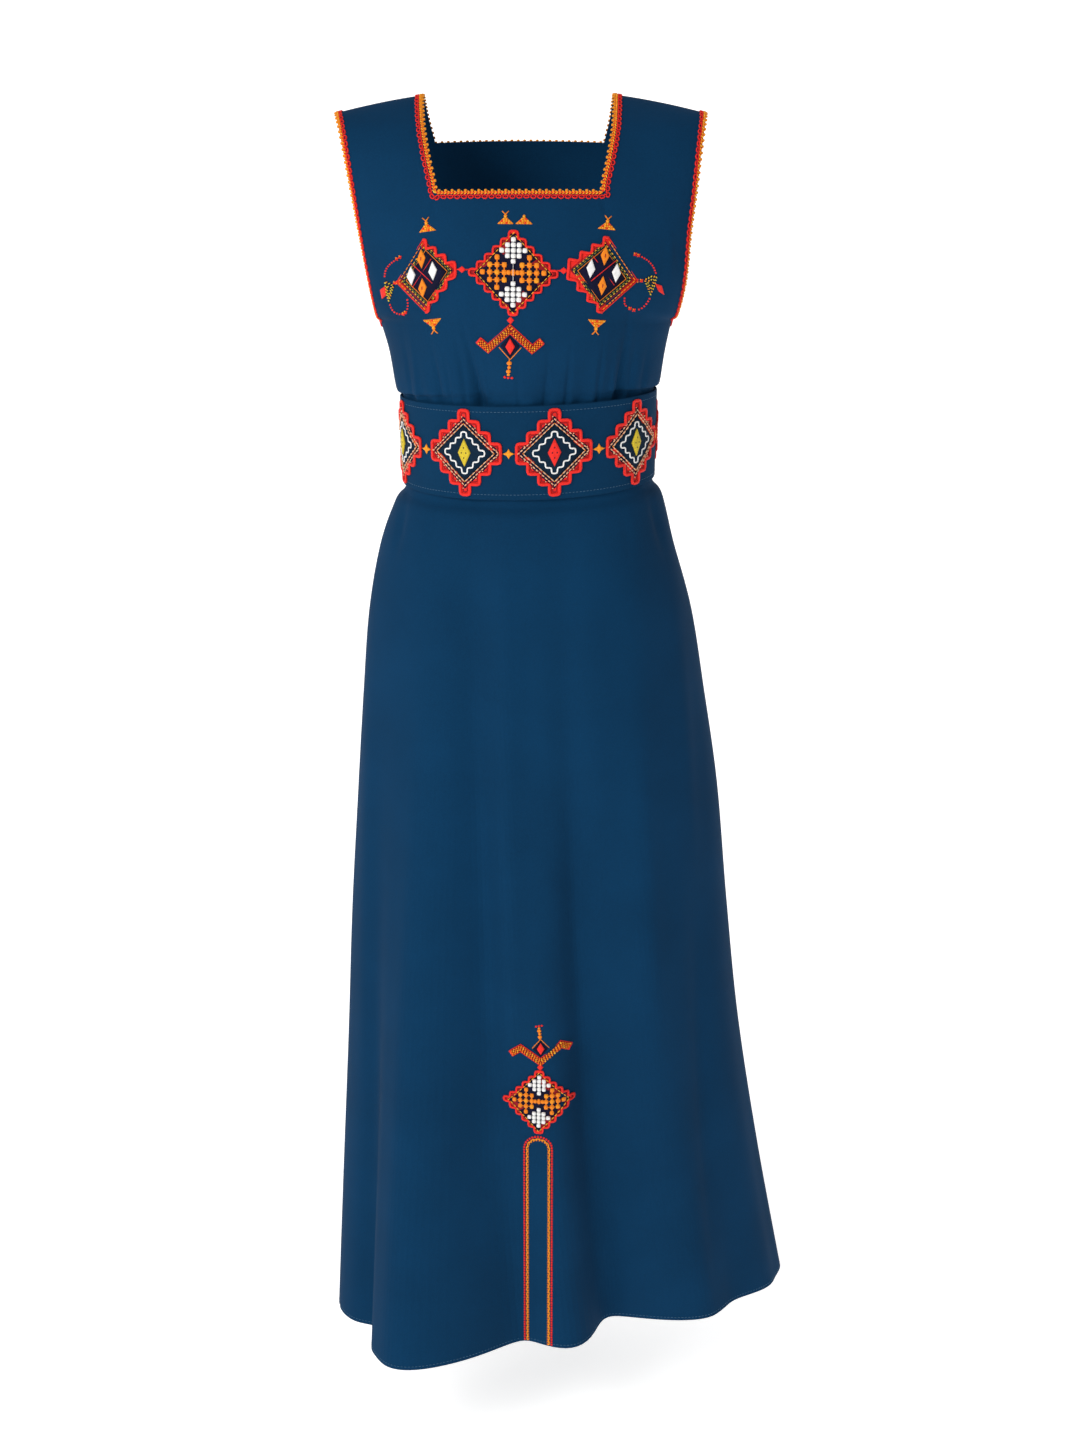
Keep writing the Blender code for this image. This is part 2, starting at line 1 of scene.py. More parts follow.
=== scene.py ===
"""The looks of a sleeveless kabyle dress: fine cloth shells, crochet braids and stitched motifs.

Metres, +Z up. The front faces -Y. Left and right are the viewer's, facing the front, so left is -X.
"""
import math
from bisect import bisect_right
from collections import namedtuple

import bmesh
import bpy
from bpy.props import FloatProperty, FloatVectorProperty, IntProperty, PointerProperty
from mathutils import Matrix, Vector
from mathutils.bvhtree import BVHTree


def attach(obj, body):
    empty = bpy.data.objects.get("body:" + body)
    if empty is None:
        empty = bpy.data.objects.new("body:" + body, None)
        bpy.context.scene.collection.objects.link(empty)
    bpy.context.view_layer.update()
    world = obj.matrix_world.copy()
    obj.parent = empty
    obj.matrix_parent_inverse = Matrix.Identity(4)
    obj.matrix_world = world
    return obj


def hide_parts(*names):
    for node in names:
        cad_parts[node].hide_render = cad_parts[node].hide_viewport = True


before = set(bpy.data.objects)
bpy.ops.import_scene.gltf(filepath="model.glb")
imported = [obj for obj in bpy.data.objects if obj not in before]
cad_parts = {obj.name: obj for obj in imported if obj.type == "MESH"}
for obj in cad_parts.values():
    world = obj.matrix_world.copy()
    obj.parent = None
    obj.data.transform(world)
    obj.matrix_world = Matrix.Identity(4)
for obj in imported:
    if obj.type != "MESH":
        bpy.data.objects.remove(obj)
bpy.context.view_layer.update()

bl_info = {
    "name": "Kabyle dress",
    "version": (1, 0, 0),
    "blender": (4, 5, 0),
    "location": "3D View > Sidebar > Dress",
    "description": "Builds the cloth, braids, motifs and sewing of a kabyle dress on its packed solids",
    "category": "Object",
}

# The cut, as in the solids. The bodice's panels stand apart by the seam gap, and the skirt's meet.
# A ring runs round the body: height, centre, half width, depth to the front and back, and turn in degrees
Ring = namedtuple("Ring", "z centre centre_y half front back turn")
# A row of the bodice: the places of its left and right edges, their height, and how far round the cloth wraps
# there in degrees. Then come the middle's height, the depth at the middle and at the edges, in front and
# behind, and the neckline's sides.
Row = namedtuple("Row", "left right edge_z wrap_left wrap_right front_z front front_edge "
                        "back_z back back_edge neck_left neck_right")
SEAM_GAP = 0.0004
WAIST_Z = -0.3445
BELT_TOP = Ring(-0.2975, 0.0100, 0.0, 0.1335, 0.1000, 0.0850, 0.0)
BELT_BOTTOM = Ring(-0.3890, 0.0104, 0.0, 0.1318, 0.0985, 0.0870, 0.0)
# How steeply the belt rises to the right, how far its lower edge dips in front, and the rows that tilt too
BELT_TILT, BELT_DIP, TILTED_ROWS = 0.026, 0.005, 2
BODICE = [
    Row(-0.1185, 0.1393, -0.3443, 90, 90, -0.3443, 0.0961, 0.000, -0.3443, 0.0829, 0.000, -0.066, 0.073),
    Row(-0.1204, 0.1404, -0.2970, 90, 90, -0.2970, 0.0969, 0.000, -0.2970, 0.0819, 0.000, -0.068, 0.074),
    Row(-0.1270, 0.1468, -0.2905, 90, 90, -0.2780, 0.1050, 0.000, -0.2790, 0.0875, 0.000, -0.071, 0.076),
    Row(-0.1344, 0.1520, -0.2520, 90, 90, -0.2460, 0.1150, 0.000, -0.2500, 0.0940, 0.000, -0.075, 0.078),
    Row(-0.1420, 0.1575, -0.2240, 90, 90, -0.2120, 0.1215, 0.000, -0.2120, 0.0990, 0.000, -0.078, 0.080),
    Row(-0.1445, 0.1620, -0.2140, 85, 80, -0.1800, 0.1235, 0.032, -0.1780, 0.1005, 0.030, -0.079, 0.081),
    Row(-0.1505, 0.1690, -0.1780, 84, 73, -0.1470, 0.1195, 0.051, -0.1430, 0.0990, 0.047, -0.0795, 0.082),
    Row(-0.1585, 0.1728, -0.1320, 80, 67, -0.1160, 0.1110, 0.056, -0.1100, 0.0950, 0.051, -0.0795, 0.082),
    Row(-0.1662, 0.1782, -0.0900, 70, 61, -0.0860, 0.1000, 0.052, -0.0790, 0.0870, 0.048, -0.0795, 0.082),
    Row(-0.1730, 0.1825, -0.0550, 58, 54, -0.0560, 0.0850, 0.0435, -0.0490, 0.0745, 0.041, -0.0865, 0.0885),
    Row(-0.1780, 0.1860, -0.0330, 50, 50, -0.0290, 0.0620, 0.031, -0.0245, 0.0550, 0.029, -0.0918, 0.0936),
    Row(-0.1815, 0.1882, -0.0222, 48, 48, -0.0085, 0.0360, 0.0175, -0.0065, 0.0325, 0.0165, -0.0942, 0.0954),
    Row(-0.1832, 0.1891, -0.0178, 47, 47, 0.0052, 0.0130, 0.0065, 0.0055, 0.0120, 0.0060, -0.0951, 0.0961),
    Row(-0.1835, 0.1893, -0.0173, 47, 47, 0.0072, 0.0002, 0.0002, 0.0072, 0.0002, 0.0002, -0.0953, 0.0962),
]
# Rows where the armholes and the necklines start
ARMHOLE_ROW, FRONT_NECK_ROW, BACK_NECK_ROW = 4, 8, 9

# Gathers at the belt: place, depth, width, how far up they fade, and how far they lean on the way
Gather = namedtuple("Gather", "x depth width rise lean")
FRONT_GATHERS = [
    Gather(-0.112, 0.0022, 0.0065, 0.070, -0.004), Gather(-0.096, 0.0028, 0.0065, 0.085, -0.008),
    Gather(-0.078, 0.0034, 0.0070, 0.090, -0.012), Gather(-0.060, 0.0018, 0.0070, 0.060, -0.012),
    Gather(-0.041, 0.0058, 0.0085, 0.105, -0.022), Gather(-0.012, 0.0012, 0.0080, 0.045, -0.004),
    Gather(0.025, 0.0034, 0.0085, 0.075, 0.012), Gather(0.045, 0.0016, 0.0070, 0.050, 0.010),
    Gather(0.064, 0.0036, 0.0080, 0.080, 0.006), Gather(0.087, 0.0018, 0.0070, 0.055, 0.004),
    Gather(0.108, 0.0056, 0.0075, 0.105, 0.008), Gather(0.123, 0.0032, 0.0060, 0.085, 0.006),
    Gather(0.135, 0.0024, 0.0055, 0.060, 0.003),
]
BACK_GATHERS = [
    Gather(-0.104, 0.0026, 0.0090, 0.070, -0.004), Gather(-0.077, 0.0036, 0.0095, 0.095, -0.010),
    Gather(-0.047, 0.0030, 0.0095, 0.080, -0.008), Gather(-0.018, 0.0020, 0.0095, 0.060, -0.004),
    Gather(0.014, 0.0034, 0.0095, 0.085, 0.004), Gather(0.045, 0.0026, 0.0090, 0.070, 0.008),
    Gather(0.073, 0.0038, 0.0095, 0.100, 0.010), Gather(0.101, 0.0024, 0.0090, 0.065, 0.006),
    Gather(0.122, 0.0020, 0.0080, 0.060, 0.004),
]
SKIRT = [
    Ring(-0.3447, 0.0104, 0.000, 0.1289, 0.0961, 0.0829, 0.0),
    Ring(-0.3905, 0.0105, 0.000, 0.1284, 0.0952, 0.0837, 0.0),
    Ring(-0.4095, 0.0100, 0.000, 0.1404, 0.1040, 0.0960, 0.0),
    Ring(-0.4600, 0.0085, 0.002, 0.1555, 0.1140, 0.1120, 0.0),
    Ring(-0.5300, 0.0118, 0.004, 0.1717, 0.1230, 0.1240, 0.5),
    Ring(-0.6200, 0.0154, 0.008, 0.1834, 0.1290, 0.1320, 1.5),
    Ring(-0.7300, 0.0197, 0.014, 0.1962, 0.1320, 0.1380, 3.0),
    Ring(-0.8700, 0.0219, 0.021, 0.2084, 0.1330, 0.1440, 5.0),
    Ring(-1.0200, 0.0270, 0.029, 0.2215, 0.1330, 0.1500, 7.0),
    Ring(-1.1900, 0.0365, 0.037, 0.2415, 0.1310, 0.1550, 9.0),
    Ring(-1.3576, 0.0485, 0.045, 0.2640, 0.1300, 0.1600, 11.5),
]
# Folds of the skirt: degrees round from the left by way of the front, push outward at the hem, width in
# degrees, and the height where they start. They grow downward by a power.
Fold = namedtuple("Fold", "angle push width start")
FOLD_GROWTH = 1.3
FOLDS = [
    Fold(26, -0.010, 6, -0.60), Fold(40, 0.016, 7, -0.58), Fold(55, 0.080, 14, -0.56),
    Fold(72, -0.022, 6, -0.66), Fold(87, 0.022, 7, -0.74), Fold(103, -0.044, 12, -0.66),
    Fold(122, 0.008, 8, -0.70), Fold(140, -0.014, 10, -0.80), Fold(164, -0.004, 8, -0.80),
    Fold(204, 0.020, 13, -0.62), Fold(229, -0.022, 12, -0.74), Fold(257, 0.030, 14, -0.58),
    Fold(284, -0.022, 12, -0.70), Fold(309, 0.024, 13, -0.60), Fold(335, -0.012, 11, -0.80),
]

# Small creases: a soft line from one place to another, across and up, out if the depth is positive
Crease = namedtuple("Crease", "x0 z0 x1 z1 depth width")
# How late a crease tapers at its ends, and how fast creases fade towards the side seams
CREASE_TAPER, BODICE_FADE, SKIRT_FADE = 0.75, 6, 4
FRONT_CREASES = [
    Crease(-0.0810, -0.0940, -0.0850, -0.1120, -0.0010, 0.0030),
    Crease(0.0835, -0.0940, 0.0875, -0.1110, -0.0010, 0.0030),
    Crease(0.1510, -0.1230, 0.1530, -0.1800, 0.0012, 0.0040),
    Crease(0.1610, -0.1300, 0.1600, -0.1850, -0.0010, 0.0040),
    Crease(0.1400, -0.1000, 0.1660, -0.1000, -0.0008, 0.0030),
    Crease(-0.1460, -0.1300, -0.1370, -0.1850, -0.0010, 0.0050),
    Crease(-0.1080, -0.3400, -0.1160, -0.2350, -0.0020, 0.0026),
    Crease(-0.1000, -0.3400, -0.1090, -0.2250, 0.0016, 0.0030),
    Crease(-0.0760, -0.3400, -0.0880, -0.2300, -0.0022, 0.0026),
    Crease(-0.0640, -0.3400, -0.0750, -0.2400, -0.0016, 0.0024),
    Crease(-0.0500, -0.3400, -0.0620, -0.2300, -0.0022, 0.0028),
    Crease(-0.0350, -0.3400, -0.0560, -0.2080, -0.0032, 0.0032),
    Crease(-0.0260, -0.3400, -0.0390, -0.2400, 0.0016, 0.0030),
    Crease(0.0010, -0.3400, 0.0000, -0.2500, -0.0012, 0.0028),
    Crease(0.0250, -0.3400, 0.0310, -0.2450, -0.0018, 0.0028),
    Crease(0.0460, -0.3400, 0.0530, -0.2400, -0.0022, 0.0028),
    Crease(0.0780, -0.3400, 0.0860, -0.2350, -0.0022, 0.0028),
    Crease(0.0960, -0.3400, 0.1020, -0.2250, 0.0018, 0.0034),
    Crease(0.1050, -0.3400, 0.1120, -0.2080, -0.0032, 0.0032),
    Crease(0.1150, -0.3400, 0.1210, -0.2350, -0.0018, 0.0026),
    Crease(0.1260, -0.3400, 0.1330, -0.2400, -0.0020, 0.0026),
    Crease(-0.0300, -0.3600, -0.0420, -0.1900, -0.0046, 0.0140),
    Crease(0.0960, -0.3600, 0.1080, -0.1900, -0.0046, 0.0140),
]
BACK_CREASES = [
    Crease(-0.110, -0.130, -0.070, -0.190, -0.0009, 0.0060),
    Crease(0.115, -0.125, 0.080, -0.195, 0.0010, 0.0060),
    Crease(-0.020, -0.120, -0.010, -0.230, -0.0007, 0.0070),
    Crease(0.050, -0.150, 0.056, -0.240, 0.0008, 0.0060),
]
SKIRT_FRONT_CREASES = [
    Crease(-0.1150, -0.3950, -0.1290, -0.4640, -0.0026, 0.0045),
    Crease(-0.0800, -0.4000, -0.0960, -0.4650, -0.0010, 0.0060),
    Crease(0.1040, -0.4000, 0.1165, -0.4650, -0.0010, 0.0060),
    Crease(0.1340, -0.3930, 0.1530, -0.4660, -0.0026, 0.0045),
    Crease(-0.1550, -0.4300, -0.1780, -1.3900, 0.0036, 0.0100),
    Crease(-0.0950, -0.4200, -0.0990, -1.3300, 0.0060, 0.0220),
    Crease(-0.0490, -0.4000, -0.0440, -1.4200, -0.0150, 0.0200),
    Crease(-0.0140, -0.4200, -0.0080, -1.2500, 0.0060, 0.0160),
    Crease(0.0420, -0.4200, 0.0960, -1.3800, -0.0105, 0.0200),
    Crease(0.1120, -0.4000, 0.1540, -1.3600, 0.0066, 0.0200),
    Crease(0.1560, -0.4300, 0.2120, -1.0000, 0.0030, 0.0100),
    Crease(0.1780, -0.5200, 0.2280, -1.3800, -0.0050, 0.0130),
]
SKIRT_BACK_CREASES = [
    Crease(-0.100, -0.405, -0.118, -0.470, -0.0016, 0.0070),
    Crease(0.112, -0.404, 0.130, -0.462, -0.0016, 0.0070),
    Crease(-0.040, -0.430, -0.052, -0.700, 0.0016, 0.0130),
    Crease(0.030, -0.420, 0.040, -0.740, -0.0016, 0.0140),
    Crease(0.085, -0.480, 0.110, -0.800, 0.0018, 0.0150),
]
# Beside a seam the cloth dips a little, over this width
SEAM_DIP, SEAM_DIP_WIDTH = 0.0006, 0.0035
# The turned hem: its height, how much thicker it is, and how high its stitches run
HEM_TURN, HEM_EXTRA, HEM_STITCH_UP = 0.0130, 0.0005, 0.0070
# Grid steps for each step of fineness: over a strap, over the neck, and round the front and back skirt panel
STRAP_STEPS, NECK_STEPS = 7, 11
SKIRT_STEPS = {"front": 17, "back": 14}
# Rows of the belt's rounded edge, in half thicknesses from the edge, and how thin the cloth is there
BELT_ROLL, BELT_THIN = (0.3, 1.0, 2.2), 0.35
BELT_COLUMNS, BELT_ROWS = 192, 16

# Applied diamonds: centre, full size, steps along a side, half the width of the upper and lower tips, half
# the height of the side tips, and how far the cloth carries them out of true
Diamond = namedtuple("Diamond", "x z width height steps tip side slope lean")
CHEST_DIAMOND = Diamond(-0.0040, -0.1638, 0.0885, 0.0850, 5, 0.0028, 0.0044, -0.02, 0.01)
CHEST_DIAMOND_LEFT = Diamond(-0.0901, -0.1685, 0.0618, 0.0734, 3, 0.0031, 0.0093, 0.26, -0.03)
CHEST_DIAMOND_RIGHT = Diamond(0.0840, -0.1667, 0.0716, 0.0744, 3, 0.0039, 0.0108, -0.20, 0.09)
SKIRT_DIAMOND = Diamond(0.0207, -1.0530, 0.0777, 0.0790, 5, 0.0028, 0.0040, -0.06, 0.01)
BELT_DIAMOND = Diamond(-0.0545, 0.0003, 0.0795, 0.0905, 3, 0.0069, 0.0118, 0.0, 0.0)

# From the first belt diamond to the second, on to the third, and from the last one round to the first.
# The others share what is left, at the back.
BELT_GAPS, BELT_LAST_GAP, BELT_SHARED_GAPS = (0.0924, 0.0946), 0.0932, 5
# Places round the belt where its length is measured
BELT_STATIONS = 720
# The middle rhombus of each belt diamond, in turn round the belt
BELT_MIDDLES = ["olive", "red", "olive", "red", "olive", "red", "olive", "olive"]

# The stars between the belt diamonds: half the height, half the waist, and the share of the room they fill
STAR_TIP, STAR_WAIST, STAR_REACH = 0.0054, 0.0028, 0.92

# Small stitched triangles: middle of the base, half base, height (down if negative), tilt, and whether
# two threads cross on the point
Triangle = namedtuple("Triangle", "x z half height tilt crossed")
TRIANGLES = [
    Triangle(-0.0880, -0.1254, 0.0089, 0.0082, 9, True),
    Triangle(-0.0115, -0.1172, 0.0084, 0.0074, 0, True),
    Triangle(0.0066, -0.1173, 0.0088, 0.0076, -1, False),
    Triangle(0.0874, -0.1233, 0.0093, 0.0080, -7, True),
    Triangle(-0.0849, -0.2112, 0.0098, -0.0092, 10, True),
    Triangle(0.0784, -0.2105, 0.0095, -0.0092, -7, True),
]

# Outer ornaments: the outline of a green leaf, its red tip, chains of beads, and loose groups of knots
Ornament = namedtuple("Ornament", "leaf tip chains knots")
ORNAMENTS = [
    Ornament(
        leaf=[(-0.1324, -0.1745), (-0.1221, -0.1786), (-0.1255, -0.1890), (-0.1286, -0.1976),
              (-0.1310, -0.1880)],
        tip=[(-0.1318, -0.1810), (-0.1368, -0.1850), (-0.1352, -0.1945), (-0.1308, -0.1900)],
        chains=[[(-0.1323, -0.1725), (-0.1312, -0.1650), (-0.1270, -0.1590), (-0.1210, -0.1545)],
                [(-0.1280, -0.1986), (-0.1252, -0.2066), (-0.1190, -0.2092), (-0.1138, -0.2080)],
                [(-0.1100, -0.2040), (-0.1088, -0.1975), (-0.1096, -0.1916)]],
        knots=[(-0.1218, -0.1768), (-0.1192, -0.1530), (-0.1160, -0.1510), (-0.1140, -0.2080),
               (-0.1118, -0.2062)]),
    Ornament(
        leaf=[(0.1241, -0.1725), (0.1320, -0.1690), (0.1383, -0.1696), (0.1360, -0.1800), (0.1315, -0.1902),
              (0.1280, -0.1810)],
        tip=[(0.1360, -0.1775), (0.1425, -0.1800), (0.1455, -0.1900), (0.1400, -0.1860)],
        chains=[[(0.1372, -0.1685), (0.1345, -0.1610), (0.1290, -0.1545), (0.1215, -0.1500)],
                [(0.1316, -0.1912), (0.1286, -0.1971), (0.1240, -0.2015), (0.1190, -0.2034)],
                [(0.1080, -0.1990), (0.1053, -0.1962), (0.1058, -0.1892)]],
        knots=[(0.1222, -0.1738), (0.1192, -0.1490), (0.1158, -0.1477), (0.1152, -0.2030),
               (0.1112, -0.2010)]),
]
BEAD_PITCH, LEAF_PITCH = 0.0029, 0.0030
# The four knots of a loose group: how far from its middle, and which way
KNOT_OUT, KNOT_WAYS = 0.0011, (0.6, 2.2, 3.8, 5.3)

# Links between the chest diamonds: middle, and how far the thread reaches on both sides
Link = namedtuple("Link", "x z reach")
LINKS = [Link(-0.0543, -0.1607, 0.0075), Link(0.0452, -0.1613, 0.0068)]
# Small red rhombi where a chevron's point meets a diamond: middle and half sizes
Point = namedtuple("Point", "x z half_u half_v")
CHEST_POINT = Point(-0.0068, -0.2092, 0.0036, 0.0040)
SKIRT_POINT = Point(0.0221, -1.0116, 0.0034, 0.0040)

# Chevrons through five corners, across and up from the middle one, and the pendant beyond the small rhombus
CHEVRON_WIDTH = 0.0070
CHEVRON = [(-0.0330, -0.0110), (-0.0215, -0.0210), (0.0, 0.0), (0.0215, -0.0210), (0.0330, -0.0110)]
# Rows of knots over the chevron's width, and the distance between knots
KNOT_ROWS, KNOT_PITCH = 4, 0.0031
# rise is how steep the chevron is and how large what hangs from it: downward if negative
Chevron = namedtuple("Chevron", "x z rise")
CHEST_CHEVRON = Chevron(-0.0073, -0.2226, 0.96)
SKIRT_CHEVRON = Chevron(0.0225, -1.0008, -0.80)
# Beads of a pendant: across, and away from the chevron's point, with their widths
Bead = namedtuple("Bead", "across away width colour")
PENDANT = [
    Bead(-0.0010, 0.0312, 0.0054, "orange"), Bead(-0.0012, 0.0358, 0.0040, "orange"),
    Bead(-0.0020, 0.0402, 0.0050, "orange"), Bead(-0.0020, 0.0438, 0.0034, "amber"),
    Bead(-0.0058, 0.0466, 0.0030, "red"), Bead(-0.0022, 0.0472, 0.0030, "red"),
    Bead(0.0016, 0.0474, 0.0030, "red"),
]

# The skirt's braid: middle, half the distance between its legs, the height where they start to bend, and how
# far above the hem it ends
SLIT_X, SLIT_HALF, SLIT_ARCH_Z, SLIT_END = 0.0198, 0.0105, -1.1102, 0.0012
# Its rows of stitches: how far outside its line, width, length in pitches, and how far each leans in turn
SlitRow = namedtuple("SlitRow", "colour out width length lean")
SLIT_ROWS = [SlitRow("amber", 0.0016, 0.0018, 1.15, 0.45), SlitRow("orange", 0.0002, 0.0012, 0.60, 0.0),
             SlitRow("red", 0.0045, 0.0024, 0.78, 0.0)]

# Crochet braids: how much of the width the chain takes, and the radius of a ring in widths
CHAIN_SHARE, RING_SHARE = 0.42, 0.20
# How flat patches, crowned patches and puffs rise: shares of the way out from the middle, and of the height
FLAT_RINGS = ((1.0, 0.0), (0.985, 1.0), (0.6, 1.0))
CROWNED_RINGS = ((1.0, 0.0), (0.94, 0.7), (0.70, 0.95), (0.35, 1.0))
PUFF_RINGS, PUFF_SIDES = ((1.0, 0.0), (0.94, 0.55), (0.62, 0.90)), 8
# How thin a tapered cord ends, the most that a rounded corner takes of a side, and the sharpest corner, as a
# cosine, that keeps its width where a line is moved
TAPER, CORNER_SHARE, SHARPEST = 0.35, 0.48, 0.7
# The puffs of a cross, in steps across and up from its middle
CROSS = [(i, j) for i in range(-2, 3) for j in range(-2, 3) if abs(i) + abs(j) <= 2]
# How far laid work sinks into the cloth, how far in front of it a search for the cloth starts, and in what
# steps an edge is followed. Anything shorter than tiny counts as nothing.
HAIR, CLEAR_AHEAD, EDGE_STEP, TINY = 0.0002, 1.0, 0.0010, 1e-7

# Machine stitches: width, height, and the gaps between them on the belt and the hem
SEWN_WIDTH, SEWN_HEIGHT, BELT_STITCH_GAP, HEM_STITCH_GAP = 0.0005, 0.0004, 0.0012, 0.0014
# How far inside the belt's edges they run, and from how many points the line above the hem is made
BELT_STITCH_IN, HEM_POINTS = 0.0060, 600

# How much darker and lighter than its colour each finish turns, and the most that a dark thread has of any
# of red, green and blue
CLOTH_TINTS, THREAD_TINTS, DARK = (0.74, 1.26), (0.74, 1.24), 0.1

# The camera, its tilt up from looking straight down in degrees, its sensor in millimetres, and the two lights
CAMERA_PLACE, CAMERA_TILT, SENSOR = (0.0246, -2.589, 0.107), 73.5, 36.0
LIGHT_AIM = Vector((0.0, 0.0, -0.6))
Light = namedtuple("Light", "name place size colour")
LIGHTS = [Light("key", (-2.2, -3.0, 1.3), (1.8, 2.4), (1.0, 0.99, 0.97)),
          Light("fill", (2.6, -2.4, 0.6), (1.6, 2.4), (0.97, 0.98, 1.0))]


# Curves and places

def between(rows, place):
    """The row at a place along a table, read on a smooth curve through its neighbours."""
    first = min(int(place), len(rows) - 2)
    t = place - first
    last = len(rows) - 1
    near = (rows[max(first - 1, 0)], rows[first], rows[first + 1], rows[min(first + 2, last)])

    def curve(a, b, c, d):
        bend, swing = a - 2.5 * b + 2 * c - d / 2, 1.5 * (b - c) + (d - a) / 2
        return b + t * ((c - a) / 2 + t * (bend + t * swing))

    return type(rows[0])(*(curve(*values) for values in zip(*near)))


def bell(distance, width):
    """1 at the middle of a fold, falling softly to 0 on both sides."""
    return math.exp(-(distance / width) ** 2)


def ramp(value):
    """A soft step from 0 to 1."""
    value = min(max(value, 0.0), 1.0)
    return value * value * (3 - 2 * value)


def belt_line(x, centre, place):
    """How much the rows at the belt tilt with it; the tilt is gone a row further on."""
    return BELT_TILT * (x - centre) * ramp(TILTED_ROWS + 1 - place)


def belt_dip(angle):
    """How far the belt's lower edge dips on the front, degrees round from the left by way of the front."""
    return BELT_DIP * max(math.sin(math.radians(angle)), 0.0)


def gather_depth(gathers, row, x, z):
    """How far the gathers draw the bodice in at one point, deepest at the belt's top edge."""
    above = z - BELT_TOP.z
    tucked = ramp((z - WAIST_Z) / (BELT_TOP.z - WAIST_Z))
    spread = (row.right - row.left) / (2 * BELT_TOP.half)
    depth = 0.0
    for gather in gathers:
        height = max(above, 0.0) / gather.rise
        line = (gather.x - BELT_TOP.centre) * spread + BELT_TOP.centre + gather.lean * height
        depth += gather.depth * bell(x - line, gather.width * (1 + height)) * (1 - ramp(height))
    return depth * tucked


def crease_height(creases, x, z):
    """How far the small creases stand out at one place, tapering to nothing at their ends."""
    height = 0.0
    for crease in creases:
        along_x, along_z = crease.x1 - crease.x0, crease.z1 - crease.z0
        length = math.hypot(along_x, along_z)
        share = ((x - crease.x0) * along_x + (z - crease.z0) * along_z) / length ** 2
        off = ((x - crease.x0) * along_z - (z - crease.z0) * along_x) / length
        height += crease.depth * bell(off, crease.width) * bell(2 * share - 1, CREASE_TAPER)
    return height


def bodice_point(front, place, share):
    """A point on the outside of the bodice. place counts rows up the table.

    share runs from 0 at the left edge over 1 and 2 at the neckline's sides to 3 at the right edge.
    """
    row = between(BODICE, place)
    wrap_left, wrap_right = math.radians(row.wrap_left), math.radians(row.wrap_right)
    centre, half = (row.left + row.right) / 2, (row.right - row.left) / 2
    stops = [-wrap_left, math.asin((row.neck_left - centre) / half * math.sin(wrap_left)),
             math.asin((row.neck_right - centre) / half * math.sin(wrap_right)), wrap_right]
    part = min(int(share), 2)
    turn = stops[part] + (stops[part + 1] - stops[part]) * (share - part)
    wrap = wrap_left if turn < 0 else wrap_right
    across = math.sin(turn) / math.sin(wrap)
    swell = (math.cos(turn) - math.cos(wrap)) / (1 - math.cos(wrap))
    middle_z, middle, edge = ((row.front_z, row.front, row.front_edge) if front else
                              (row.back_z, row.back, row.back_edge))
    side = -1 if front else 1
    x = centre + half * across
    edge = max(edge, SEAM_GAP / 2)
    y = side * (edge + (middle - edge) * swell)
    z = middle_z + (row.edge_z - middle_z) * across ** 2 + belt_line(x, centre, place)
    inward = Vector((centre - x, -y, 0)).normalized()
    depth = gather_depth(FRONT_GATHERS if front else BACK_GATHERS, row, x, z)
    creases = FRONT_CREASES if front else BACK_CREASES
    depth -= crease_height(creases, x, z) * ramp(BODICE_FADE * (1 - abs(across)))
    depth += SEAM_DIP * bell(middle * (wrap - abs(turn)), SEAM_DIP_WIDTH) * ramp(ARMHOLE_ROW - place)
    return Vector((x, y, z)) + inward * depth


def ring_point(ring, angle):
    """A point on a ring, degrees round from the left by way of the front."""
    turned = math.radians(angle)
    depth = ring.front if math.sin(turned) >= 0 else ring.back
    x, y = -ring.half * math.cos(turned), -depth * math.sin(turned)
    twist = math.radians(ring.turn)
    return Vector((ring.centre + x * math.cos(twist) - y * math.sin(twist),
                   ring.centre_y + x * math.sin(twist) + y * math.cos(twist), ring.z))


def skirt_point(place, angle):
    """A point on the outside of the skirt, with the folds growing towards the hem."""
    ring = between(SKIRT, place)
    point = ring_point(ring, angle)
    point.z += belt_line(point.x, ring.centre, place)
    point.z -= belt_dip(angle) * ramp(place) * ramp(TILTED_ROWS + 1 - place)
    outward = (point - Vector((ring.centre, ring.centre_y, ring.z))).normalized()
    push = 0.0
    for fold in FOLDS:
        fallen = max(fold.start - ring.z, 0.0) / (fold.start - SKIRT[-1].z)
        off = (angle - fold.angle + 180) % 360 - 180
        push += fold.push * bell(off, fold.width) * fallen ** FOLD_GROWTH
    # 0 at the side seams
    beside = abs(math.sin(math.radians(angle)))
    creases = SKIRT_FRONT_CREASES if angle < 180 else SKIRT_BACK_CREASES
    push += crease_height(creases, point.x, point.z) * ramp(SKIRT_FADE * beside)
    push -= SEAM_DIP * bell(beside * ring.front, SEAM_DIP_WIDTH)
    return point + outward * push


def belt_point(up, angle):
    """A point on the outside of the belt, up from 0 at its lower edge to 1 at its upper edge."""
    ring = Ring(*(low + (high - low) * up for low, high in zip(BELT_BOTTOM, BELT_TOP)))
    point = ring_point(ring, angle)
    point.z += BELT_TILT * (point.x - ring.centre) - belt_dip(angle) * (1 - up)
    return point


# Shader maths

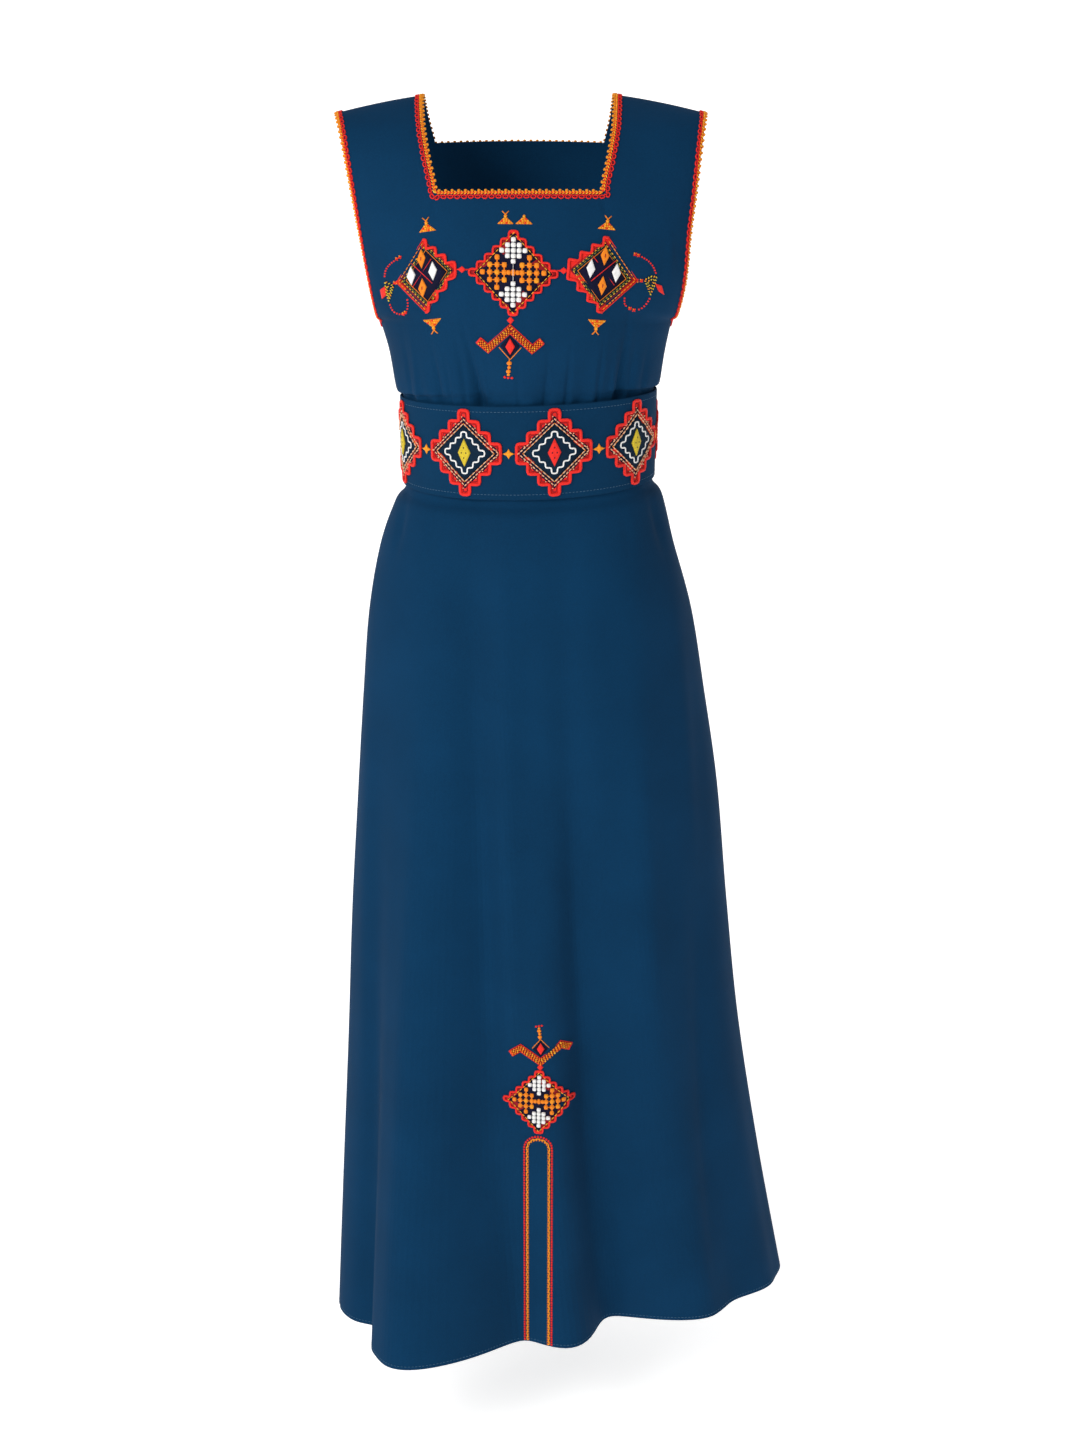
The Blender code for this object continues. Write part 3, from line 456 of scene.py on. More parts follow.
class Value:
    """A number on its way through a material: sums with it add Math nodes."""

    def __init__(self, finish, socket):
        self.finish, self.socket = finish, socket

    def maths(self, operation, first, second=0.0):
        return self.finish.node("ShaderNodeMath", {"operation": operation}, {0: first, 1: second})

    def __add__(self, other):
        return self.maths("ADD", self, other)

    def __radd__(self, other):
        return self.maths("ADD", other, self)

    def __sub__(self, other):
        return self.maths("SUBTRACT", self, other)

    def __rsub__(self, other):
        return self.maths("SUBTRACT", other, self)

    def __mul__(self, other):
        return self.maths("MULTIPLY", self, other)

    def __rmul__(self, other):
        return self.maths("MULTIPLY", other, self)

    def wave(self):
        """The sine of the value."""
        return self.maths("SINE", self)

    def kept(self):
        """The value held between 0 and 1."""
        return self.maths("MINIMUM", self.maths("MAXIMUM", self, 0.0), 1.0)


class Finish:
    """A material, its shader and the nodes that feed it."""

    def __init__(self, name, fixed):
        self.material = bpy.data.materials.new(name)
        self.material.use_nodes = True
        self.tree = self.material.node_tree
        self.shader = self.tree.nodes["Principled BSDF"]
        for socket, value in fixed.items():
            self.shader.inputs[socket].default_value = value

    def node(self, kind, settings=None, inputs=None, output=0):
        """A new node's output, after its settings are made and its inputs fed."""
        made = self.tree.nodes.new(kind)
        for name, value in (settings or {}).items():
            setattr(made, name, value)
        for name, value in (inputs or {}).items():
            self.feed(made.inputs[name], value)
        return Value(self, made.outputs[output])

    def feed(self, socket, value):
        """Links a value to a socket, or sets it there if it is a plain one."""
        if isinstance(value, Value):
            self.tree.links.new(value.socket, socket)
        else:
            socket.default_value = value

    def mix(self, share, first, second):
        """A colour between two others."""
        return self.node("ShaderNodeMix", {"data_type": "RGBA"}, {0: share, 6: first, 7: second}, output=2)

    def cloudy(self, scale, detail):
        """Soft noise through the cloth, from 0 to 1."""
        place = self.node("ShaderNodeTexCoord", output=3)
        return self.node("ShaderNodeTexNoise", inputs={"Vector": place, "Scale": scale, "Detail": detail})

    def grain(self):
        """The two ways of the weave or stitch, in metres."""
        cut = self.node("ShaderNodeUVMap", {"uv_map": "cut"})
        return [self.node("ShaderNodeSeparateXYZ", inputs={0: cut}, output=way) for way in (0, 1)]

    def bump(self, height, strength, distance):
        """Fine relief on the surface."""
        normal = self.node("ShaderNodeBump",
                           inputs={"Strength": strength, "Distance": distance, "Height": height})
        self.feed(self.shader.inputs["Normal"], normal)


def tint(colour, factor):
    """A colour made lighter or darker, with its alpha."""
    return (*(min(channel * factor, 1.0) for channel in colour), 1.0)


def cloth_finish(name, colour, pitch):
    """Plain woven cloth: fine crossing threads, a faint mottle and a soft nap."""
    found = bpy.data.materials.get(name)
    if found:
        return found
    finish = Finish(name, {"Sheen Weight": 0.008, "Sheen Roughness": 0.5, "Specular IOR Level": 0.045})
    across, along = finish.grain()
    turn = 2 * math.pi / pitch
    warp = (across * turn).wave()
    weft = (along * turn).wave()
    weave = (warp * weft + 1.0) * 0.5
    fine = finish.cloudy(scale=620.0, detail=2.0)
    broad = finish.cloudy(scale=9.0, detail=3.0)
    share = ((broad - 0.5) * 0.9 + (fine - 0.5) * 0.7 + weave * 0.22 + 0.39).kept()
    darker, lighter = (tint(colour, factor) for factor in CLOTH_TINTS)
    finish.feed(finish.shader.inputs["Base Color"], finish.mix(share, darker, lighter))
    finish.feed(finish.shader.inputs["Roughness"], 0.76 + fine * 0.14)
    finish.bump(weave * 0.6 + fine * 0.6, strength=0.30, distance=0.0002)
    return finish.material


def thread_finish(name, colour, pitch):
    """Stitched cotton: plies that lie side by side or twist round a cord, and a little unevenness."""
    found = bpy.data.materials.get(name)
    if found:
        return found
    dark = max(colour) < DARK
    finish = Finish(name, {"Sheen Weight": 0.01 if dark else 0.06, "Sheen Roughness": 0.4,
                           "Specular IOR Level": 0.05 if dark else 0.18})
    across, along = finish.grain()
    plies = ((across * (2 * math.pi / pitch) + along * (2 * math.pi)).wave() + 1.0) * 0.5
    fine = finish.cloudy(scale=420.0, detail=2.0)
    share = (plies * 0.55 + (fine - 0.5) * 0.9 + 0.25).kept()
    darker, lighter = (tint(colour, factor) for factor in THREAD_TINTS)
    finish.feed(finish.shader.inputs["Base Color"], finish.mix(share, darker, lighter))
    finish.feed(finish.shader.inputs["Roughness"], 0.70 - plies * 0.16)
    finish.bump(plies + fine * 0.4, strength=0.55, distance=0.00035)
    return finish.material


# Mesh helpers

def legs(path, closed=True):
    """The straight parts of a line, each as its two ends."""
    return list(zip(path, path[1:] + path[:1] if closed else path[1:]))


def add_piece(name, mesh, replaced=()):
    """A shown piece on the dress, standing for the solids that it replaces."""
    piece = bpy.data.objects.new(name, mesh)
    bpy.context.scene.collection.objects.link(piece)
    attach(piece, "root")
    if replaced:
        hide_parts(*replaced)
    return piece


def shell(name, rows, thickness, kept=None, closed=False):
    """A cloth mesh with an outside and an inside. thickness gives the wall for a place in the grid.

    rows are listed upward and anticlockwise seen from above. The map named cut holds the place of each
    point on the flat cloth, in metres.
    """
    sheet = bmesh.new()
    outer = [[sheet.verts.new(point) for point in row] for row in rows]
    count = len(rows[0])
    spans = count if closed else count - 1
    for i in range(len(rows) - 1):
        for j in range(spans):
            k = (j + 1) % count
            if kept is None or kept(i, j):
                sheet.faces.new((outer[i][j], outer[i][k], outer[i + 1][k], outer[i + 1][j]))
    sheet.normal_update()
    outside = list(sheet.faces)
    inner = {}
    place = {}
    middle = count // 2
    up = 0.0
    for i, row in enumerate(outer):
        if i:
            up += (row[middle].co - outer[i - 1][middle].co).length
        lengths = [0.0]
        for j in range(1, count):
            lengths.append(lengths[-1] + (row[j].co - row[j - 1].co).length)
        for j, vert in enumerate(row):
            inner[vert] = (vert.co - vert.normal * thickness(i, j), lengths[j] - lengths[middle], up)
    for vert, (point, across, along) in list(inner.items()):
        if vert.link_faces:
            twin = sheet.verts.new(point)
            place[vert] = place[twin] = (across, along)
            inner[vert] = twin
        else:
            sheet.verts.remove(vert)
    rims = [edge for edge in sheet.edges if edge.is_boundary]
    for face in outside:
        sheet.faces.new([inner[vert] for vert in reversed(face.verts)])
    for edge in rims:
        loop = edge.link_loops[0]
        start, end = loop.vert, loop.link_loop_next.vert
        edge.smooth = False
        sheet.faces.new((end, start, inner[start], inner[end]))
        sheet.edges.get((inner[start], inner[end])).smooth = False
    sheet.verts.index_update()
    cut = sheet.loops.layers.uv.new("cut")
    girth = sum((a.co - b.co).length for a, b in legs(outer[0])) if closed else 0.0
    for face in sheet.faces:
        spots = [place[loop.vert] for loop in face.loops]
        widest = max(spot[0] for spot in spots)
        for loop, (across, along) in zip(face.loops, spots):
            wrapped = closed and widest - across > girth / 2
            loop[cut].uv = (across + (girth if wrapped else 0.0), along)
    mesh = bpy.data.meshes.new(name)
    sheet.to_mesh(mesh)
    sheet.free()
    mesh["outside"] = len(outside)
    return mesh


def surface_of(*names):
    """A search tree over the outsides of some cloth pieces."""
    points, faces = [], []
    for name in names:
        mesh = bpy.data.objects[name].data
        start = len(points)
        points += [vert.co.copy() for vert in mesh.vertices]
        faces += [[start + index for index in face.vertices] for face in mesh.polygons[:mesh["outside"]]]
    return BVHTree.FromPolygons(points, faces)


def smoothed(path, passes):
    """An open flat path with its corners cut round."""
    for _ in range(passes):
        soft = [path[0]]
        for (u0, v0), (u1, v1) in zip(path, path[1:]):
            soft += [(0.75 * u0 + 0.25 * u1, 0.75 * v0 + 0.25 * v1),
                     (0.25 * u0 + 0.75 * u1, 0.25 * v0 + 0.75 * v1)]
        path = [*soft, path[-1]]
    return path


def spaced(path, pitch, closed=True):
    """Places evenly along a flat path, with the way it runs there: across, up, and the angle."""
    parts = [(start, end, math.dist(start, end)) for start, end in legs(path, closed)]
    total = sum(part[2] for part in parts)
    count = max(round(total / pitch), 1)
    spots, walked, part = [], 0.0, 0
    for number in range(count):
        target = total * (number + 0.5) / count
        while walked + parts[part][2] < target:
            walked += parts[part][2]
            part += 1
        (u0, v0), (u1, v1), length = parts[part]
        share = (target - walked) / length
        spots.append((u0 + (u1 - u0) * share, v0 + (v1 - v0) * share, math.atan2(v1 - v0, u1 - u0)))
    return spots


def mitred(corners, width):
    """A flat line of corners moved sideways, to the left of the way it runs."""
    moved = []
    for i, corner in enumerate(corners):
        near = [Vector(place) for place in corners[max(i - 1, 0):i + 2]]
        ways = [(end - start).normalized() for start, end in zip(near, near[1:])]
        along = sum(ways, Vector((0, 0))).normalized()
        moved.append(tuple(Vector(corner) + Vector((-along.y, along.x)) * width / along.dot(ways[0])))
    return moved


def stepped(width, height, steps, tip, side):
    """The outline of a diamond with stepped sides, anticlockwise from its right tip.

    tip is half the width of its upper and lower tips, and side half the height of its side tips.
    """
    step_u, step_v = (width / 2 - tip) / steps, (height / 2 - side) / steps
    quarter = []
    for k in range(steps + 1):
        quarter.append((width / 2 - k * step_u, side + k * step_v))
        if k < steps:
            quarter.append((width / 2 - (k + 1) * step_u, side + k * step_v))
    back = quarter[::-1]
    return quarter + [(-u, v) for u, v in back] + [(-u, -v) for u, v in quarter] + [(u, -v) for u, v in back]


def stepped_inside(shape, inset):
    """The outline of an applied diamond, moved inward."""
    return stepped(shape.width - 2 * inset, shape.height - 2 * inset, shape.steps, shape.tip - inset,
                   shape.side - inset)


def rounded(path, radius, notch=None, closed=True):
    """A flat path with its corners rounded, and its left-hand notches by a radius of their own."""
    soft = []
    last = len(path) - 1
    for i, corner in enumerate(path):
        if not closed and i in (0, last):
            soft.append(corner)
            continue
        before, after = path[i - 1], path[(i + 1) % len(path)]
        turn = ((corner[0] - before[0]) * (after[1] - corner[1])
                - (corner[1] - before[1]) * (after[0] - corner[0]))
        reach = notch if notch is not None and turn < 0 else radius
        ends = []
        for other in (before, after):
            share = min(reach / math.dist(corner, other), CORNER_SHARE)
            ends.append(tuple(a + (b - a) * share for a, b in zip(corner, other)))
        soft += [ends[0], tuple(a / 4 + c / 2 + b / 4 for a, c, b in zip(ends[0], corner, ends[1])), ends[1]]
    return soft


def scalloped(shape, inset, radius, notch):
    """The outline of an applied diamond, moved inward, with its corners and notches rounded."""
    return rounded(stepped_inside(shape, inset), radius, notch)


def divided(path, parts):
    """A closed flat path with each side cut into equal parts."""
    return [(u0 + (u1 - u0) * part / parts, v0 + (v1 - v0) * part / parts)
            for (u0, v0), (u1, v1) in legs(path) for part in range(parts)]


def shifted(path, across, up):
    """A flat path moved across and up."""
    return [(u + across, v + up) for u, v in path]


def rhombus(half_u, half_v):
    """The four corners of a plain diamond."""
    return [(half_u, 0.0), (0.0, half_v), (-half_u, 0.0), (0.0, -half_v)]


def scaled(path, factor):
    """A flat path grown or shrunk about the middle of its corners."""
    middle_u = sum(u for u, _ in path) / len(path)
    middle_v = sum(v for _, v in path) / len(path)
    return [(middle_u + (u - middle_u) * factor, middle_v + (v - middle_v) * factor) for u, v in path]


def mound(count, rings):
    """The faces of a raised shape: rings of the same count one over another, a point on top, a flat base."""
    faces = []
    for ring in range(rings - 1):
        low, high = ring * count, (ring + 1) * count
        for k in range(count):
            n = (k + 1) % count
            faces.append((low + k, low + n, high + n, high + k))
    top = (rings - 1) * count
    faces += [(top + k, top + (k + 1) % count, rings * count) for k in range(count)]
    faces.append(list(range(count))[::-1])
    return faces


class Work:
    """Stitched work in flat sizes: across, up and height above the cloth. It is laid on the cloth last."""

    def __init__(self):
        self.points, self.faces, self.finishes, self.cut = [], [], [], []

    def add(self, points, faces, finish, cut):
        """One stitch more: its points, faces, thread, and each point's place on the thread."""
        start = len(self.points)
        self.points += points
        self.faces += [[start + index for index in face] for face in faces]
        self.finishes += [finish] * len(faces)
        self.cut += cut

    def cord(self, path, finish, width, height, base=0.0, closed=False, tapered=False, sides=6):
        """A round cord along flat places, its seam turned down to the cloth."""
        count = len(path)
        last = count - 1
        points, cut, faces = [], [], []
        walked = 0.0
        for i, (u, v) in enumerate(path):
            before = path[(i - 1) % count] if closed or i else path[0]
            after = path[(i + 1) % count] if closed or i < last else path[-1]
            if i:
                walked += math.dist(path[i - 1], path[i])
            along = math.atan2(after[1] - before[1], after[0] - before[0])
            full = TAPER if tapered and i in (0, last) else 1.0
            for k in range(sides):
                angle = math.radians(360 * k / sides - 90)
                off = math.cos(angle) * width / 2 * full
                rise = base + (1 + math.sin(angle) * full) * height / 2
                points.append((u + math.sin(along) * off, v - math.cos(along) * off, rise))
                cut.append((walked, k / sides))
        for i in range(count if closed else last):
            low, high = i * sides, (i + 1) % count * sides
            for k in range(sides):
                n = (k + 1) % sides
                faces.append((low + k, high + k, high + n, low + n))
        if not closed:
            faces += [list(range(sides)), list(range(last * sides, count * sides))[::-1]]
        self.add(points, faces, finish, cut)

    def dashes(self, path, finish, width, height, stitch, gap, base=0.0, closed=True):
        """A line of running stitches."""
        for u, v, along in spaced(path, stitch + gap, closed):
            du, dv = math.cos(along) * stitch / 2, math.sin(along) * stitch / 2
            places = [(u + du * share, v + dv * share) for share in (-1, -0.45, 0.45, 1)]
            self.cord(places, finish, width, height, base=base, tapered=True, sides=5)

    def puff(self, u, v, finish, width, length, height, base=0.0, turn=0.0, squareness=0.75):
        """A small padded stitch, width across and length along the way that it is turned."""
        points, cut = [], []
        for reach, rise in PUFF_RINGS:
            for k in range(PUFF_SIDES):
                angle = 2 * math.pi * k / PUFF_SIDES
                c, s = math.cos(angle), math.sin(angle)
                a = math.copysign(abs(c) ** squareness, c) * length / 2 * reach
                b = math.copysign(abs(s) ** squareness, s) * width / 2 * reach
                points.append((u + a * math.cos(turn) - b * math.sin(turn),
                               v + a * math.sin(turn) + b * math.cos(turn), base + height * rise))
                cut.append((b, 0.0))
        points.append((u, v, base + height))
        cut.append((0.0, 0.0))
        self.add(points, mound(PUFF_SIDES, len(PUFF_RINGS)), finish, cut)

    def patch(self, outline, finish, height, base=0.0, grain=0.0, rings=CROWNED_RINGS):
        """A filled shape, raised as its rings say, with its threads laid along the grain's angle."""
        count = len(outline)
        middle_u = sum(u for u, _ in outline) / count
        middle_v = sum(v for _, v in outline) / count
        points, cut = [], []
        for reach, rise in (*rings, (0.0, 1.0)):
            for u, v in outline if reach else [(middle_u, middle_v)]:
                u, v = middle_u + (u - middle_u) * reach, middle_v + (v - middle_v) * reach
                points.append((u, v, base + height * rise))
                cut.append((v * math.cos(grain) - u * math.sin(grain), 0.0))
        self.add(points, mound(count, len(rings)), finish, cut)


def lay(work, name, place, slot, replaced=()):
    """Lays flat work on the cloth as one piece. place gives a point and normal for a place across and up."""
    yarn = slot == "braid_yarn"
    points = []
    for u, v, height in work.points:
        point, normal = place(u, v)
        points.append(point + normal * (height - HAIR))
    mesh = bpy.data.meshes.new(name)
    mesh.from_pydata(points, [], work.faces)
    colours = sorted(set(work.finishes))
    threads = bpy.context.scene.dress_threads
    pitch = threads.braid_ply if yarn else threads.ply
    for colour in colours:
        finish = thread_finish(colour + ("_yarn" if yarn else "_thread"), getattr(threads, colour), pitch)
        mesh.materials.append(finish)
    mesh.polygons.foreach_set("material_index", [colours.index(finish) for finish in work.finishes])
    cut = mesh.uv_layers.new(name="cut")
    for loop in mesh.loops:
        cut.data[loop.index].uv = work.cut[loop.vertex_index]
    mesh.shade_smooth()
    mesh.validate()
    return add_piece(name, mesh, replaced)


def front_place(surface, shape=None):
    """Places on the front of the cloth, straight behind a point given across and up from a shape's centre."""
    def place(u, v):
        x, z = (u, v) if shape is None else (shape.x + u + shape.lean * v, shape.z + v + shape.slope * u)
        return surface.ray_cast(Vector((x, -CLEAR_AHEAD, z)), Vector((0, 1, 0)))[:2]
    return place


class Edge:
    """A line on the cloth that work follows: places along it, and to its left seen from outside."""

    def __init__(self, path, surface, closed):
        self.closed, self.surface = closed, surface
        parts = [(start, end, (end - start).length) for start, end in legs(path, closed)]
        parts = [part for part in parts if part[2] > TINY]
        self.length = sum(part[2] for part in parts)
        count = round(self.length / EDGE_STEP)
        self.step = self.length / count
        points, walked, part = [], 0.0, 0
        for number in range(count + (0 if closed else 1)):
            target = min(number * self.step, self.length - TINY)
            while part < len(parts) - 1 and walked + parts[part][2] < target:
                walked += parts[part][2]
                part += 1
            start, end, length = parts[part]
            points.append(start.lerp(end, (target - walked) / length))
        self.points = points
        self.normals = [surface.find_nearest(point)[1] for point in points]
        self.sides = []
        last = len(points) - 1
        for i in range(len(points)):
            before = points[i - 1] if closed or i else points[0]
            after = points[(i + 1) % len(points)] if closed or i < last else points[last]
            self.sides.append(self.normals[i].cross(after - before).normalized())

    def place(self, along, left):
        """The cloth's point and normal at a distance along the line and to its left."""
        at = along / self.step
        first = math.floor(at)
        share = at - first
        count = len(self.points)
        if self.closed:
            a, b = first % count, (first + 1) % count
        else:
            a, b = min(max(first, 0), count - 1), min(max(first + 1, 0), count - 1)
        side = self.sides[a].lerp(self.sides[b], share).normalized()
        normal = self.normals[a].lerp(self.normals[b], share).normalized()
        return self.points[a].lerp(self.points[b], share) + side * left, normal

    def moved(self, left):
        """A closed line moved to its left over the cloth, with its corners kept sharp."""
        path = []
        for point, side, after in zip(self.points, self.sides, self.sides[1:] + self.sides[:1]):
            mitre = 1 / max(side.dot(after), SHARPEST)
            path.append(self.surface.find_nearest(point + side * left * mitre)[0])
        return Edge(path, self.surface, closed=True)


def edge_places(front, share, low, count):
    """Points up one edge of a bodice panel, from a row of the cut to the shoulder."""
    rise = len(BODICE) - 1 - low
    return [bodice_point(front, low + rise * step / count, share) for step in range(count + 1)]


def neckline(front, count):
    """The bottom of the neckline, left to right, corners left out."""
    row = FRONT_NECK_ROW if front else BACK_NECK_ROW
    return [bodice_point(front, row, 1 + step / count) for step in range(1, count)]


# Settings

def length_setting(name, description, default):
    """A length that a user can change, in metres."""
    return FloatProperty(name=name, description=description, default=default, unit="LENGTH")


def colour_setting(name, description, *default):
    """A colour that a user can change."""
    return FloatVectorProperty(name=name, description=description, default=default, subtype="COLOR")


class DressCloth(bpy.types.PropertyGroup):
    """Sizes and colours of the cloth."""

    fineness: IntProperty(name="Fineness", description="Grid steps for each row of the cut", default=8,
                          min=2, max=12)
    wall: length_setting("Wall", "Thickness of one layer of cloth", 0.0009)
    belt_wall: length_setting("Belt wall", "Thickness of the belt", 0.0026)
    weave: length_setting("Weave", "Distance between threads", 0.0011)
    blue: colour_setting("Dress cloth", "Colour of the dress cloth", 0.0026, 0.0322, 0.0850)
    belt_blue: colour_setting("Belt cloth", "Colour of the belt cloth", 0.0026, 0.0298, 0.0768)


class DressThreads(bpy.types.PropertyGroup):
    """Colours and plies of the threads and yarns."""

    ply: length_setting("Thread ply", "Distance between stitched threads", 0.0009)
    braid_ply: length_setting("Yarn ply", "Distance between the plies of the crochet yarn", 0.0012)
    red: colour_setting("Red", "Red thread", 0.860, 0.024, 0.017)
    wine: colour_setting("Wine", "Dark red thread", 0.300, 0.009, 0.015)
    orange: colour_setting("Orange", "Orange thread", 1.000, 0.240, 0.012)
    amber: colour_setting("Amber", "Yellow-orange yarn", 1.000, 0.310, 0.014)
    gold: colour_setting("Gold", "Yellow highlights of the thread", 1.000, 0.450, 0.034)
    white: colour_setting("White", "White thread", 0.980, 0.970, 0.940)
    cream: colour_setting("Cream", "Salmon-cream thread", 0.800, 0.460, 0.280)
    navy: colour_setting("Navy", "Dark ground thread", 0.0070, 0.0080, 0.0270)
    olive: colour_setting("Olive", "Olive-yellow thread", 0.640, 0.480, 0.030)
    green: colour_setting("Green", "Green thread", 0.160, 0.190, 0.030)
    moss: colour_setting("Moss", "Dark green-blue ground thread", 0.0044, 0.0184, 0.0400)
    mist: colour_setting("Mist", "Pale blue sewing thread", 0.070, 0.150, 0.240)


class DressSewing(bpy.types.PropertyGroup):
    """Sizes of braids and stitches."""

    chain_pitch: length_setting("Chain pitch", "Length of one crochet chain stitch", 0.0033)
    ring_pitch: length_setting("Ring pitch", "Distance between crochet rings", 0.0068)
    neck_width: length_setting("Neck braid", "Width of the neck braid", 0.0085)
    armhole_width: length_setting("Armhole braids", "Width of the armhole braids", 0.0070)
    slit_pitch: length_setting("Slit braid pitch", "Length of one stitch of the skirt's braid", 0.0032)
    stitch: length_setting("Stitch", "Length of a machine stitch", 0.0026)


class DressStage(bpy.types.PropertyGroup):
    """Floor, light and camera."""

    floor_z: length_setting("Floor", "Height of the floor", -1.48)
    key: FloatProperty(name="Key light", description="Power of the large soft light", default=112.0,
                       unit="POWER")
    fill: FloatProperty(name="Fill light", description="Power of the light on the other side", default=8.0,
                        unit="POWER")
    sky: FloatProperty(name="Sky", description="Strength of the even light all round", default=0.37)
    glow: FloatProperty(name="Floor glow", description="Light that the pale floor gives of itself",
                        default=0.60)
    lens: FloatProperty(name="Lens", description="Focal length of the camera, in millimetres",
                        default=62.07)


# Pieces

def panel(front):
    """One bodice panel as a piece of cloth."""
    cloth = bpy.context.scene.dress_cloth
    fine = cloth.fineness
    side = "front" if front else "back"
    neck_row = FRONT_NECK_ROW if front else BACK_NECK_ROW
    top = len(BODICE) - 1
    places = [step / fine for step in range(top * fine + 1)]
    strap, neck = STRAP_STEPS * fine, NECK_STEPS * fine
    shares = [step / strap for step in range(strap)]
    shares += [1 + step / neck for step in range(neck)]
    shares += [2 + step / strap for step in range(strap + 1)]
    if not front:
        shares.reverse()
    rows = [[bodice_point(front, place, share) for share in shares] for place in places]
    mesh = shell("bodice_" + side, rows, lambda i, j: cloth.wall,
                 kept=lambda i, j: places[i] < neck_row or not strap <= j < strap + neck)
    mesh.materials.append(cloth_finish("dress_cloth", cloth.blue, cloth.weave))
    return add_piece("bodice_{}_cloth".format(side), mesh, ["bodice_" + side])


class DRESS_OT_bodice(bpy.types.Operator):
    """Front and back bodice panels, gathered into the belt"""

    bl_idname = "dress.bodice"
    bl_label = "Bodice"

    def execute(self, context):
        front, back = panel(True), panel(False)
        return {"FINISHED"}


class DRESS_OT_skirt(bpy.types.Operator):
    """Front and back skirt panels, with their folds and a turned hem"""

    bl_idname = "dress.skirt"
    bl_label = "Skirt"

    def execute(self, context):
        cloth = context.scene.dress_cloth
        fine = cloth.fineness
        last = len(SKIRT) - 1
        places = [step / fine for step in range(last * fine + 1)]
        places.reverse()
        for side, start in (("front", 0), ("back", 180)):
            count = SKIRT_STEPS[side] * fine
            angles = [start + 180 * step / count for step in range(count + 1)]
            rows = [[skirt_point(place, angle) for angle in angles] for place in places]
            hem = SKIRT[-1].z + HEM_TURN
            mesh = shell("skirt_" + side, rows,
                         lambda i, j: cloth.wall + (HEM_EXTRA if rows[i][j].z < hem else 0.0))
            mesh.materials.append(cloth_finish("dress_cloth", cloth.blue, cloth.weave))
            add_piece("skirt_{}_cloth".format(side), mesh, ["skirt_" + side])
        return {"FINISHED"}


class DRESS_OT_belt(bpy.types.Operator):
    """The belt, doubled and stiffened, with rounded edges"""

    bl_idname = "dress.belt"
    bl_label = "Belt"

    def execute(self, context):
        cloth = context.scene.dress_cloth
        angles = [360 * step / BELT_COLUMNS for step in range(BELT_COLUMNS)]
        edge = cloth.belt_wall / (BELT_TOP.z - BELT_BOTTOM.z) / 2
        rolled = [0.0] + [share * edge for share in BELT_ROLL]
        flat = 1 - 2 * rolled[-1]
        ups = rolled + [rolled[-1] + flat * step / BELT_ROWS for step in range(1, BELT_ROWS)]
        ups += [1 - up for up in reversed(rolled)]
        rows = []
        for up in ups:
            inset = max(edge - min(up, 1 - up), 0.0) / edge
            roll = cloth.belt_wall / 2 * (1 - math.sqrt(max(1 - inset ** 2, 0.0)))
            row = []
            for angle in angles:
                point = belt_point(up, angle)
                outward = Vector((point.x - BELT_TOP.centre, point.y, 0)).normalized()
                row.append(point - outward * roll)
            rows.append(row)
        flat_rows = range(2, len(rows) - 2)
        mesh = shell("belt", rows, lambda i, j: cloth.belt_wall * (1 if i in flat_rows else BELT_THIN),
                     closed=True)
        mesh.materials.append(cloth_finish("belt_weave", cloth.belt_blue, cloth.weave))
        belt = add_piece("belt_cloth", mesh, ["belt"])
        return {"FINISHED"}


def crochet(name, edge, width, replaced):
    """A crochet braid: an amber chain with small picots on the cloth's edge, and red rings inside it."""
    sewing = bpy.context.scene.dress_sewing
    reach, radius = CHAIN_SHARE * width, RING_SHARE * width
    rings = edge.moved(width - radius - 0.0007)
    # pairs of slanted stitches over a red line, with a picot on every second pair
    chain = Work()
    count = round(edge.length / sewing.chain_pitch)
    pitch = edge.length / count
    for number in range(count):
        along = (number + 0.5) * pitch
        sway = 0.12 * math.sin(number * 2.3)
        chain.puff(along, 0.0010, "amber", width=0.0014, length=pitch, height=0.0019, turn=-0.55 + sway)
        chain.puff(along, reach - 0.0009, "gold" if number % 3 == 0 else "amber", width=0.0014,
                   length=pitch, height=0.0020, turn=0.55 + sway)
        if number % 2:
            chain.puff(along, -0.0005, "amber", width=0.0022, length=0.0032, height=0.0016, turn=sway)
    chain.cord([(step * pitch, reach / 2) for step in range(count + 1)], "red", width=0.7 * reach,
               height=0.0007, sides=5)
    lay(chain, name + "_chain", edge.place, "braid_yarn", replaced)
    # rings round a dark knot, joined by small knots
    work = Work()
    count = round(rings.length / sewing.ring_pitch)
    pitch = rings.length / count
    for number in range(count):
        along = (number + 0.5) * pitch
        wide = radius + 0.0002 * math.sin(number * 1.7)
        circle = [(along + 0.36 * pitch * math.cos(turn), wide * math.sin(turn))
                  for turn in (math.radians(36 * step) for step in range(10))]
        work.cord(circle, "red", width=0.0012, height=0.0018, closed=True)
        work.puff(along + pitch / 2, -radius, "red", width=0.0016, length=0.0024, height=0.0016)
        work.puff(along + pitch / 2, 0.0002, "wine", width=0.0013, length=0.0013, height=0.0010)
        work.puff(along, 0.0, "wine", width=radius, length=radius, height=0.0006)
    lay(work, name + "_rings", rings.place, "braid_yarn")


class DRESS_OT_neck_braid(bpy.types.Operator):
    """The crochet braid round the square neck opening"""

    bl_idname = "dress.neck_braid"
    bl_label = "Neck braid"

    def execute(self, context):
        surface = surface_of("bodice_front_cloth", "bodice_back_cloth")
        path = neckline(True, count=60)[::-1] + edge_places(True, 1, FRONT_NECK_ROW, count=60)
        path += edge_places(False, 1, BACK_NECK_ROW, count=50)[::-1] + neckline(False, count=60)
        path += edge_places(False, 2, BACK_NECK_ROW, count=50)
        path += edge_places(True, 2, FRONT_NECK_ROW, count=60)[::-1]
        edge = Edge(path, surface, closed=True)
        crochet("neck_braid", edge, context.scene.dress_sewing.neck_width, ["neck_braid"])
        return {"FINISHED"}


